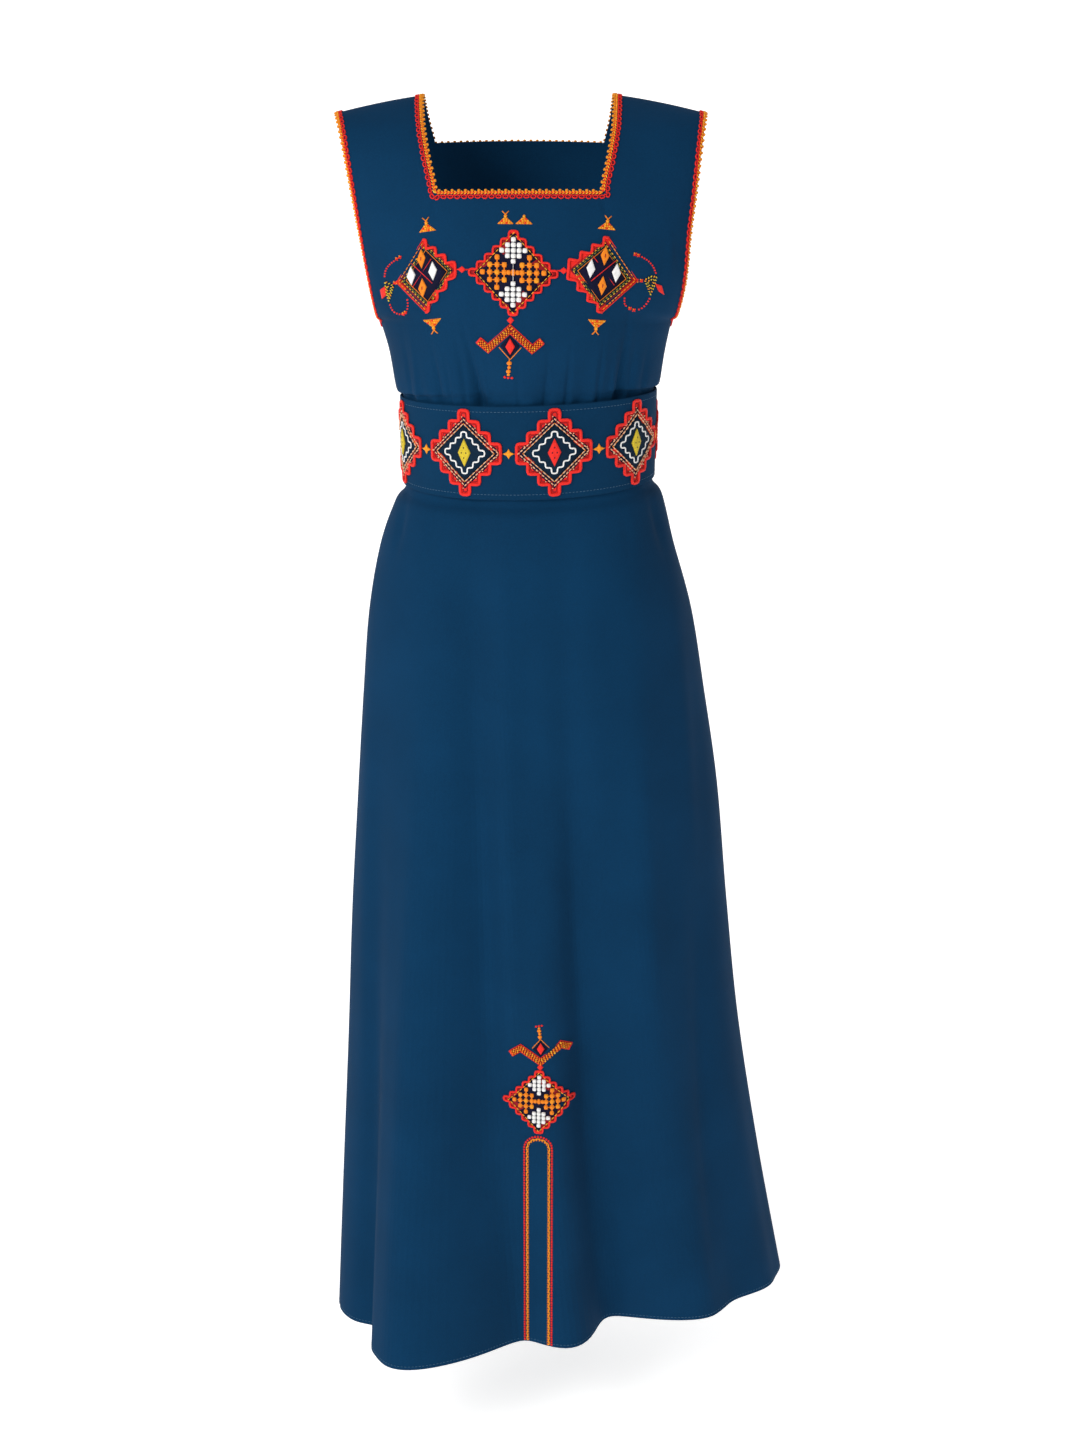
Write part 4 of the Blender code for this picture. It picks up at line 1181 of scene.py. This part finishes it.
class DRESS_OT_armhole_braids(bpy.types.Operator):
    """The crochet braids round both armholes"""

    bl_idname = "dress.armhole_braids"
    bl_label = "Armhole braids"

    def execute(self, context):
        surface = surface_of("bodice_front_cloth", "bodice_back_cloth")
        for side, share in (("left", 0), ("right", 3)):
            name = "armhole_braid_" + side
            path = edge_places(True, share, ARMHOLE_ROW, count=120)
            path += edge_places(False, share, ARMHOLE_ROW, count=120)[-2:0:-1]
            if side == "left":
                path.reverse()
            edge = Edge(path, surface, closed=True)
            crochet(name, edge, context.scene.dress_sewing.armhole_width, [name])
        return {"FINISHED"}


class DRESS_OT_slit_braid(bpy.types.Operator):
    """The braid that runs up, over and down on the skirt front: an amber chain inside a red one"""

    bl_idname = "dress.slit_braid"
    bl_label = "Skirt braid"

    def execute(self, context):
        place = front_place(surface_of("skirt_front_cloth"))
        pitch = context.scene.dress_sewing.slit_pitch
        hem = SKIRT[-1].z + SLIT_END
        turns = [math.radians(angle) for angle in range(0, 181, 10)]
        work = Work()
        for row in SLIT_ROWS:
            half = SLIT_HALF + row.out
            path = [(SLIT_X + half, hem)]
            path += [(SLIT_X + half * math.cos(turn), SLIT_ARCH_Z + half * math.sin(turn)) for turn in turns]
            path.append((SLIT_X - half, hem))
            for number, (u, v, along) in enumerate(spaced(path, pitch, closed=False)):
                work.puff(u, v, row.colour, width=row.width, length=row.length * pitch, height=0.0017,
                          turn=along + (row.lean if number % 2 else -row.lean))
        lay(work, "slit_braid_yarn", place, "braid_yarn", ["slit_braid"])
        return {"FINISHED"}


def cross_diamond(work, shape):
    """A stepped diamond with a red scalloped edge, two white crosses of puffs and orange puffs between.

    It gives how far up the middle line of its puffs lies.
    """
    half_u, half_v = shape.width / 2, shape.height / 2
    edge = shape._replace(height=shape.height - 0.0026, tip=shape.tip + 0.0028)
    # ground and scalloped edge
    work.patch(scalloped(edge, inset=0.0008, radius=0.0022, notch=0.0006), "wine", height=0.0008,
               rings=FLAT_RINGS)
    work.patch(divided(rhombus(half_u * 0.880, half_v * 0.965), 2), "navy", height=0.0011, rings=FLAT_RINGS)
    work.cord(scalloped(edge, inset=0.0012, radius=0.0026, notch=0.0010), "red", width=0.0024,
              height=0.0022, base=0.0002, closed=True)
    for side in (1, -1):
        work.puff(0.0, side * (half_v - 0.0034), "red", width=0.0036, length=0.0066, height=0.0020)
    work.cord(rhombus(half_u * 0.875, half_v * 0.950), "red", width=0.0010, height=0.0016, base=0.0006,
              closed=True)
    work.dashes(rhombus(half_u * 0.825, half_v * 0.890), "gold", width=0.0009, height=0.0014, stitch=0.0034,
                gap=0.0012, base=0.0008)
    # white crosses above and below the middle
    lift = 0.0106 * shape.height
    step_u, step_v = 0.0640 * shape.width, 0.0605 * shape.height
    for side in (1, -1):
        for i, j in CROSS:
            work.puff(i * step_u, lift + side * 0.2455 * shape.height + j * step_v, "white",
                      width=0.94 * step_v, length=0.90 * step_u, height=0.0026, base=0.0008,
                      squareness=0.5)
    # orange crosses on both sides, on their threads, and the bar between them
    step_u, step_v = 0.0800 * shape.width, 0.0845 * shape.height
    for side in (1, -1):
        centre = side * 0.178 * shape.width
        for i, j in CROSS:
            if i != -2 * side:
                work.puff(centre + i * step_u, lift + j * step_v,
                          "amber" if (i + j) % 3 == 0 else "orange", width=0.76 * step_v,
                          length=0.74 * step_u, height=0.0023, base=0.0008, squareness=0.55)
        for i in (-1, 0, 1):
            reach = (2 - abs(i)) * step_v
            work.cord([(centre + i * step_u, lift - reach), (centre + i * step_u, lift + reach)], "orange",
                      width=0.0016, height=0.0013, base=0.0008)
            work.cord([(centre - reach * 0.7, lift + i * step_v), (centre + reach * 0.7, lift + i * step_v)],
                      "orange", width=0.0010, height=0.0012, base=0.0008)
    for part in (-1, 0, 1):
        work.puff(part * 0.050 * shape.width, lift, "orange",
                  width=(0.080 if part == 0 else 0.058) * shape.height, length=0.052 * shape.width,
                  height=0.0022, base=0.0008)
    return lift


def rhombus_diamond(work, shape, inner, shift):
    """A diamond with scallops on the sides that face the middle, and four small rhombi round a cross."""
    half_u, half_v = shape.width / 2, shape.height / 2
    outline = stepped_inside(shape, 0.0015)
    quarter = len(outline) // 4
    scallops = [(inner * u, v) for u, v in outline[3 * quarter - 1:] + outline[:quarter + 1]]
    outer_tip = (-inner * half_u * 0.95, 0.0)
    whole = [*scallops, outer_tip]
    if inner < 0:
        whole.reverse()
    # ground, scallops, and two lines on each plain side
    work.patch(whole, "red", height=0.0008, rings=FLAT_RINGS)
    work.cord(rounded(scallops, 0.0030, 0.0008, closed=False), "red", width=0.0029, height=0.0022,
              base=0.0002)
    for end in (scallops[0], scallops[-1]):
        work.cord([end, outer_tip], "red", width=0.0010, height=0.0015, base=0.0004)
        near = (end[0] * 0.9, end[1] * 0.93)
        work.dashes([near, (outer_tip[0] * 0.93, 0.0)], "orange", width=0.0009, height=0.0015,
                    stitch=0.0034, gap=0.0008, base=0.0006, closed=False)
    # the field, its lines from the outside inward
    field = [(u + inner * 0.04 * half_u, v) for u, v in rhombus(half_u * 0.84, half_v * 0.86)]
    work.cord(scaled(field, 1.03), "wine", width=0.0012, height=0.0016, base=0.0002, closed=True)
    work.patch(divided(field, 2), "moss", height=0.0011, rings=FLAT_RINGS)
    work.dashes(scaled(field, 0.95), "gold", width=0.0009, height=0.0014, stitch=0.0024, gap=0.0016,
                base=0.0008)
    work.dashes(scaled(field, 0.88), "green", width=0.0011, height=0.0013, stitch=0.0030, gap=0.0014,
                base=0.0008)
    work.patch(divided(scaled(field, 0.80), 2), "navy", height=0.0014, rings=FLAT_RINGS)
    work.cord(scaled(field, 0.79), "orange", width=0.0008, height=0.0016, base=0.0008, closed=True)
    # a thin cross with two white and two orange rhombi in its corners
    middle_u, middle_v = shift
    for side in (1, -1):
        ends = [(middle_u - 0.32 * half_u, middle_v - 0.32 * side * half_v),
                (middle_u + 0.32 * half_u, middle_v + 0.32 * side * half_v)]
        work.cord(ends, "red", width=0.0007, height=0.0010 + 0.0004 * (side > 0), base=0.0011)
    for side in (1, -1):
        white = shifted(divided(rhombus(0.0044, 0.0094), 3), middle_u + side * 0.35 * half_u, middle_v)
        work.patch(white, "white", height=0.0018, base=0.0011, grain=0.5)
        amber = shifted(divided(rhombus(0.0043, 0.0096), 3), middle_u, middle_v + side * 0.385 * half_v)
        work.patch(amber, "orange", height=0.0018, base=0.0011, grain=0.5)
        work.puff(middle_u, middle_v + side * 0.385 * half_v, "wine", width=0.0011, length=0.0042,
                  height=0.0006, base=0.0026, turn=math.pi / 2)
    for side in (1, -1):
        work.puff(outer_tip[0] - inner * 0.0004, side * 0.0009, "red" if side > 0 else "orange",
                  width=0.0018, length=0.0022, height=0.0014, turn=side * 0.6)


def chevron(work, shape):
    """A stitched chevron with a small red rhombus in it, two fine threads and a beaded pendant."""
    # the band, edged in red and filled with rows of knots
    corners = [(shape.x + across, shape.z + shape.rise * up) for across, up in CHEVRON]
    if shape.rise < 0:
        corners.reverse()
    far = mitred(corners, CHEVRON_WIDTH)
    for k in range(len(corners) - 1):
        quad = [corners[k], corners[k + 1], far[k + 1], far[k]]
        work.patch(quad, "wine", height=0.0009, rings=FLAT_RINGS)
    work.cord(corners + far[::-1], "red", width=0.0010, height=0.0019, closed=True)
    for row in range(KNOT_ROWS):
        share = (row + 0.85) / (KNOT_ROWS + 0.7)
        line = [(a[0] + (b[0] - a[0]) * share, a[1] + (b[1] - a[1]) * share) for a, b in zip(corners, far)]
        for number, (u, v, along) in enumerate(spaced(line, KNOT_PITCH, closed=False)):
            slide = row % 2 * KNOT_PITCH / 2
            work.puff(u + slide * math.cos(along), v + slide * math.sin(along),
                      "gold" if (number + row) % 4 == 0 else "orange", width=0.0013, length=0.0019,
                      height=0.0018, base=0.0008, turn=along)
    for end in (0, -1):
        work.cord([corners[end], far[end]], "red", width=0.0026, height=0.0023)
    # what hangs from its point, at distances that grow with its size
    point_u, point_v = corners[2]
    size = abs(shape.rise)
    down = -1 if shape.rise > 0 else 1

    def beyond(across, away):
        return point_u + across * size, point_v + down * away * size

    ground = [beyond(across, away) for across, away in ((0.0, 0.0015), (0.0100, 0.0130), (0.0, 0.0262),
                                                        (-0.0100, 0.0130))]
    work.patch(ground if down > 0 else ground[::-1], "navy", height=0.0006, rings=FLAT_RINGS)
    for side in (1, -1):
        work.cord([beyond(side * 0.0114, 0.0145), beyond(0.0, 0.0275)], "orange", width=0.0009,
                  height=0.0011)
    red = divided(rhombus(0.0050 * size, 0.0088 * size), 3)
    work.patch(shifted(red, *beyond(0.0, 0.0136)), "red", height=0.0019, base=0.0004)
    work.cord([beyond(-0.0008, 0.0265), beyond(-0.0020, 0.0440)], "orange", width=0.0011, height=0.0011)
    for bead in PENDANT:
        u, v = beyond(bead.across, bead.away)
        width = bead.width * (0.5 + size / 2)
        work.puff(u, v, bead.colour, width=0.8 * width, length=width, height=0.5 * width, squareness=0.9)


def ornament(work, shape):
    """An outer ornament: a green leaf with a red tip, chains of red beads and groups of knots."""
    work.patch(rounded(shape.leaf, 0.0010), "moss", height=0.0010, grain=0.9)
    for factor in (0.84, 0.46):
        for number, (u, v, along) in enumerate(spaced(scaled(shape.leaf, factor), LEAF_PITCH)):
            work.puff(u, v, "olive" if number % 3 else "amber", width=0.0011, length=0.0022, height=0.0012,
                      base=0.0006, turn=along + 0.9)
    work.patch(rounded(shape.tip, 0.0006), "red", height=0.0016, grain=0.4, rings=FLAT_RINGS)
    for chain in shape.chains:
        for u, v, along in spaced(smoothed(chain, passes=2), BEAD_PITCH, closed=False):
            work.puff(u, v, "red", width=0.0017, length=0.0019, height=0.0014, turn=along)
    for u, v in shape.knots:
        for number, turn in enumerate(KNOT_WAYS):
            work.puff(u + KNOT_OUT * math.cos(turn), v + KNOT_OUT * math.sin(turn),
                      "orange" if number == 1 else "red", width=0.0014, length=0.0019, height=0.0015,
                      turn=turn)


def triangle(work, shape):
    """A small triangle filled with rows of orange knots, and two threads crossed on its point."""
    tilt = math.radians(shape.tilt)

    def turned(u, v):
        return (shape.x + u * math.cos(tilt) - v * math.sin(tilt),
                shape.z + u * math.sin(tilt) + v * math.cos(tilt))

    corners = [turned(-shape.half, 0.0), turned(shape.half, 0.0), turned(0.0, shape.height)]
    if shape.height < 0:
        corners.reverse()
    work.patch(rounded(corners, 0.0012), "orange", height=0.0008, grain=tilt + 1.2, rings=FLAT_RINGS)
    work.puff(*turned(0.0, 0.96 * shape.height), "amber", width=0.0030, length=0.0030, height=0.0019)
    rows = 4
    for row in range(rows):
        share = (row + 0.5) / rows
        reach = shape.half * (1 - share) - 0.0004
        count = max(round(2 * reach / 0.0023), 1)
        for number in range(count):
            u = reach * (2 * (number + 0.5) / count - 1)
            work.puff(*turned(u, shape.height * share),
                      ("amber", "gold", "amber", "red", "gold")[(3 * row + number) % 5], width=0.0015,
                      length=0.0021, height=0.0015, base=0.0006,
                      turn=tilt + (0.5 if (number + row) % 2 else -0.5))
    if shape.crossed:
        for side in (1, -1):
            start, end = turned(-side * 0.0016, shape.height), turned(side * 0.0032, 1.62 * shape.height)
            work.cord([start, end], "orange", width=0.0011, height=0.0013)


def point_rhombus(work, point):
    """The small red rhombus where a chevron's point meets a diamond."""
    work.patch(shifted(rhombus(point.half_u, point.half_v), point.x, point.z), "red", height=0.0020)


class DRESS_OT_chest_motifs(bpy.types.Operator):
    """The stitched motifs on the chest"""

    bl_idname = "dress.chest_motifs"
    bl_label = "Chest motifs"

    def execute(self, context):
        surface = surface_of("bodice_front_cloth")
        work = Work()
        lift = cross_diamond(work, CHEST_DIAMOND)
        reach = 0.110 * CHEST_DIAMOND.height
        work.cord([(0.0, lift - reach), (0.0, lift + reach)], "white", width=0.0006, height=0.0028,
                  base=0.0008)
        lay(work, "chest_diamond_work", front_place(surface, CHEST_DIAMOND), "motif_thread",
            ["chest_diamond"])
        for side, shape, inner, shift in (("left", CHEST_DIAMOND_LEFT, 1, (-0.0034, 0.0037)),
                                          ("right", CHEST_DIAMOND_RIGHT, -1, (-0.0002, 0.0043))):
            work = Work()
            rhombus_diamond(work, shape, inner, shift)
            lay(work, "chest_diamond_{}_work".format(side), front_place(surface, shape), "motif_thread",
                ["chest_diamond_" + side])
        work = Work()
        chevron(work, CHEST_CHEVRON)
        lay(work, "chest_chevron_work", front_place(surface), "motif_thread", ["chest_chevron"])
        work = Work()
        for shape in TRIANGLES:
            triangle(work, shape)
        for link in LINKS:
            work.cord([(link.x - link.reach, link.z), (link.x + link.reach, link.z)], "red", width=0.0014,
                      height=0.0014)
            work.patch(shifted(rhombus(0.0042, 0.0034), link.x, link.z), "red", height=0.0018)
        point_rhombus(work, CHEST_POINT)
        for shape in ORNAMENTS:
            ornament(work, shape)
        lay(work, "chest_ornaments", front_place(surface), "motif_thread")
        return {"FINISHED"}


class DRESS_OT_skirt_motif(bpy.types.Operator):
    """The stitched motif on the skirt front, above the braid"""

    bl_idname = "dress.skirt_motif"
    bl_label = "Skirt motif"

    def execute(self, context):
        surface = surface_of("skirt_front_cloth")
        work = Work()
        cross_diamond(work, SKIRT_DIAMOND)
        lay(work, "skirt_diamond_work", front_place(surface, SKIRT_DIAMOND), "motif_thread",
            ["skirt_diamond"])
        work = Work()
        chevron(work, SKIRT_CHEVRON)
        point_rhombus(work, SKIRT_POINT)
        lay(work, "skirt_chevron_work", front_place(surface), "motif_thread", ["skirt_chevron"])
        return {"FINISHED"}


def belt_place():
    """Places on the belt, with where its first diamond is, its length and its height.

    A place is a distance round the belt, from its left side by way of the front, and up from its middle.
    """
    step_angle = 360 / BELT_STATIONS
    ring = [belt_point(0.5, step * step_angle) for step in range(BELT_STATIONS + 1)]
    lengths = [0.0]
    for start, end in zip(ring, ring[1:]):
        lengths.append(lengths[-1] + (end - start).length)
    height = (belt_point(1, 90) - belt_point(0, 90)).length

    def place(along, up):
        along %= lengths[-1]
        station = min(bisect_right(lengths, along), BELT_STATIONS) - 1
        share = (along - lengths[station]) / (lengths[station + 1] - lengths[station])
        angle = (station + share) * step_angle
        forward = belt_point(0.5, angle + step_angle) - belt_point(0.5, angle - step_angle)
        return belt_point(0.5 + up / height, angle), forward.cross(Vector((0, 0, 1))).normalized()

    front = range(BELT_STATIONS // 2)
    first = lengths[min(front, key=lambda step: abs(ring[step].x - BELT_DIAMOND.x))]
    return place, first, lengths[-1], height


def belt_diamond(work, middle):
    """A belt diamond: wide red steps, two stitched lines, a white wave and a small rhombus."""
    # ground, its inner line and its wide scalloped edge
    work.patch(scalloped(BELT_DIAMOND, inset=0.0010, radius=0.0024, notch=0.0006), "red", height=0.0008,
               rings=FLAT_RINGS)
    work.cord(scalloped(BELT_DIAMOND, inset=0.0046, radius=0.0016, notch=0.0010), "wine", width=0.0012,
              height=0.0013, base=0.0002, closed=True)
    work.patch(divided(rhombus(0.0395, 0.0376), 2), "navy", height=0.0011, rings=FLAT_RINGS)
    work.cord(scalloped(BELT_DIAMOND, inset=0.0017, radius=0.0030, notch=0.0010), "red", width=0.0034,
              height=0.0024, base=0.0002, closed=True)
    # cream dots, and the stitched lines from the outside inward
    for u, v, _ in spaced(rhombus(0.0372, 0.0385), pitch=0.0104):
        work.puff(u, v, "cream", width=0.0014, length=0.0014, height=0.0014, base=0.0010, squareness=1.0)
    work.dashes(rhombus(0.0362, 0.0342), "cream", width=0.0014, height=0.0012, stitch=0.0034, gap=0.0008,
                base=0.0008)
    work.cord(rhombus(0.0318, 0.0300), "orange", width=0.0011, height=0.0016, base=0.0008, closed=True)
    work.dashes(rhombus(0.0318, 0.0300), "cream", width=0.0013, height=0.0018, stitch=0.0044, gap=0.0010,
                base=0.0008)
    work.patch(divided(rhombus(0.0305, 0.0287), 2), "moss", height=0.0013, rings=FLAT_RINGS)
    # the field, with its white wave and the rhombus in its middle
    wave = rounded(stepped(width=0.0434, height=0.0428, steps=3, tip=0.0030, side=0.0030), radius=0.0022)
    work.cord(wave, "white", width=0.0018, height=0.0010, base=0.0010, closed=True)
    work.patch(divided(rhombus(0.0070, 0.0148), 3), middle, height=0.0020, base=0.0010, grain=0.6)
    for u, v in ((-0.0024, 0.0), (0.0024, 0.0), (0.0, 0.0052), (0.0, -0.0052)):
        work.puff(u, v, "navy", width=0.0015, length=0.0022, height=0.0006, base=0.0026, turn=math.pi / 2,
                  squareness=1.0)


class DRESS_OT_belt_motifs(bpy.types.Operator):
    """Diamonds and small stars all round the belt"""

    bl_idname = "dress.belt_motifs"
    bl_label = "Belt motifs"

    def execute(self, context):
        place, first, length, _ = belt_place()
        middles = [first]
        for gap in BELT_GAPS:
            middles.append(middles[-1] + gap)
        shared = (first + length - BELT_LAST_GAP - middles[-1]) / BELT_SHARED_GAPS
        middles += [middles[-1] + shared * number for number in range(1, BELT_SHARED_GAPS + 1)]
        for number, middle in enumerate(middles):
            work = Work()
            belt_diamond(work, BELT_MIDDLES[number])
            lay(work, "belt_diamond_{}_work".format(number + 1),
                lambda u, v, m=middle: place(m + u, BELT_DIAMOND.z + v), "motif_thread",
                ["belt_diamond_{}".format(number + 1)])
        stars = Work()
        for before, after in zip(middles, middles[1:] + [first + length]):
            middle, reach = (before + after) / 2, (after - before - BELT_DIAMOND.width) / 2
            wide = STAR_REACH * reach
            points = []
            for turn in range(8):
                angle = math.radians(45 * turn)
                out = STAR_WAIST if turn % 2 else wide if turn % 4 == 0 else STAR_TIP
                points.append((middle + out * math.cos(angle), out * math.sin(angle)))
            stars.patch(divided(points, 2), "amber", height=0.0019, grain=0.3)
            stars.cord([(middle - reach, 0.0), (middle + reach, 0.0)], "orange", width=0.0008,
                       height=0.0009)
        lay(stars, "belt_stars", place, "motif_thread")
        return {"FINISHED"}


class DRESS_OT_stitching(bpy.types.Operator):
    """Machine stitches along the belt's edges and above the hem"""

    bl_idname = "dress.stitching"
    bl_label = "Stitching"

    def execute(self, context):
        stitch = context.scene.dress_sewing.stitch
        place, _, length, height = belt_place()
        belt = Work()
        for up in (-height / 2 + BELT_STITCH_IN, height / 2 - BELT_STITCH_IN):
            belt.dashes([(0.0, up), (length, up)], "mist", SEWN_WIDTH, SEWN_HEIGHT, stitch, BELT_STITCH_GAP,
                        closed=False)
        lay(belt, "belt_stitches", place, "belt_cloth")
        rise = len(SKIRT) - 1 - HEM_STITCH_UP / (SKIRT[-2].z - SKIRT[-1].z)
        for side, first in (("front", 0), ("back", 180)):
            angles = [first + 1 + 178 * step / HEM_POINTS for step in range(HEM_POINTS + 1)]
            surface = surface_of("skirt_{}_cloth".format(side))
            line = Edge([skirt_point(rise, angle) for angle in angles], surface, closed=False)
            hem = Work()
            hem.dashes([(0.0, 0.0), (line.length, 0.0)], "mist", SEWN_WIDTH, SEWN_HEIGHT, stitch,
                       HEM_STITCH_GAP, closed=False)
            lay(hem, "hem_stitches_" + side, line.place, "blue_cloth")
        return {"FINISHED"}


def area_light(light, power):
    """A large soft light, aimed at the middle of the dress."""
    data = bpy.data.lights.new(light.name, "AREA")
    data.shape = "RECTANGLE"
    data.size, data.size_y = light.size
    data.energy = power
    data.color = light.colour
    lamp = bpy.data.objects.new(light.name, data)
    lamp.location = light.place
    lamp.rotation_euler = (LIGHT_AIM - lamp.location).to_track_quat("-Z", "Y").to_euler()
    bpy.context.scene.collection.objects.link(lamp)


class DRESS_OT_stage(bpy.types.Operator):
    """A pale floor that curves up behind, soft studio light and the camera"""

    bl_idname = "dress.stage"
    bl_label = "Stage"

    def execute(self, context):
        stage = context.scene.dress_stage
        finish = Finish("pale_floor", {"Base Color": (0.90, 0.90, 0.90, 1.0), "Roughness": 0.9,
                                       "Specular IOR Level": 0.1, "Emission Color": (1.0, 1.0, 1.0, 1.0),
                                       "Emission Strength": stage.glow})
        width, front, back, bend, top = 9.0, -5.0, 2.6, 1.6, 6.0
        profile = [(front, 0.0), (back, 0.0)]
        profile += [(back + bend * math.sin(math.radians(turn)), bend * (1 - math.cos(math.radians(turn))))
                    for turn in range(10, 91, 10)]
        profile.append((back + bend, top))
        mesh = bpy.data.meshes.new("floor")
        points = [(side * width, y, stage.floor_z + z) for y, z in profile for side in (-1, 1)]
        starts = range(0, 2 * len(profile) - 2, 2)
        mesh.from_pydata(points, [], [(start, start + 1, start + 3, start + 2) for start in starts])
        mesh.materials.append(finish.material)
        mesh.shade_smooth()
        floor = bpy.data.objects.new("floor", mesh)
        context.scene.collection.objects.link(floor)

        world = bpy.data.worlds.new("soft_room")
        world.use_nodes = True
        sky = world.node_tree.nodes["Background"]
        sky.inputs["Color"].default_value = (1.0, 1.0, 1.0, 1.0)
        sky.inputs["Strength"].default_value = stage.sky
        context.scene.world = world
        for light in LIGHTS:
            area_light(light, getattr(stage, light.name))

        data = bpy.data.cameras.new("camera")
        data.lens = stage.lens
        data.sensor_width = SENSOR
        camera = bpy.data.objects.new("camera", data)
        camera.location = CAMERA_PLACE
        camera.rotation_euler = (math.radians(CAMERA_TILT), 0.0, 0.0)
        context.scene.collection.objects.link(camera)
        context.scene.camera = camera
        context.scene.view_settings.view_transform = "Standard"
        return {"FINISHED"}


class DRESS_PT_panel(bpy.types.Panel):
    """The dress, piece by piece"""

    bl_idname = "DRESS_PT_panel"
    bl_label = "Kabyle dress"
    bl_space_type = "VIEW_3D"
    bl_region_type = "UI"
    bl_category = "Dress"

    def draw(self, context):
        scene = context.scene
        for title, group in (("Cloth", scene.dress_cloth), ("Threads", scene.dress_threads),
                             ("Sewing", scene.dress_sewing), ("Stage", scene.dress_stage)):
            box = self.layout.box()
            box.label(text=title)
            for name in group.__annotations__:
                box.prop(group, name)
        for operator in OPERATORS:
            self.layout.operator(operator.bl_idname)


GROUPS = {"dress_cloth": DressCloth, "dress_threads": DressThreads, "dress_sewing": DressSewing,
          "dress_stage": DressStage}
OPERATORS = [DRESS_OT_bodice, DRESS_OT_skirt, DRESS_OT_belt, DRESS_OT_neck_braid, DRESS_OT_armhole_braids,
             DRESS_OT_slit_braid, DRESS_OT_chest_motifs, DRESS_OT_skirt_motif, DRESS_OT_belt_motifs,
             DRESS_OT_stitching, DRESS_OT_stage]


def register():
    for name, group in GROUPS.items():
        bpy.utils.register_class(group)
        setattr(bpy.types.Scene, name, PointerProperty(type=group))
    for operator in OPERATORS:
        bpy.utils.register_class(operator)
    bpy.utils.register_class(DRESS_PT_panel)


def unregister():
    bpy.utils.unregister_class(DRESS_PT_panel)
    for operator in reversed(OPERATORS):
        bpy.utils.unregister_class(operator)
    for name, group in GROUPS.items():
        delattr(bpy.types.Scene, name)
        bpy.utils.unregister_class(group)


def main():
    """Builds every piece in order."""
    register()
    for operator in OPERATORS:
        name = operator.bl_idname.split(".")[1]
        getattr(bpy.ops.dress, name)()


if __name__ == "__main__":
    main()
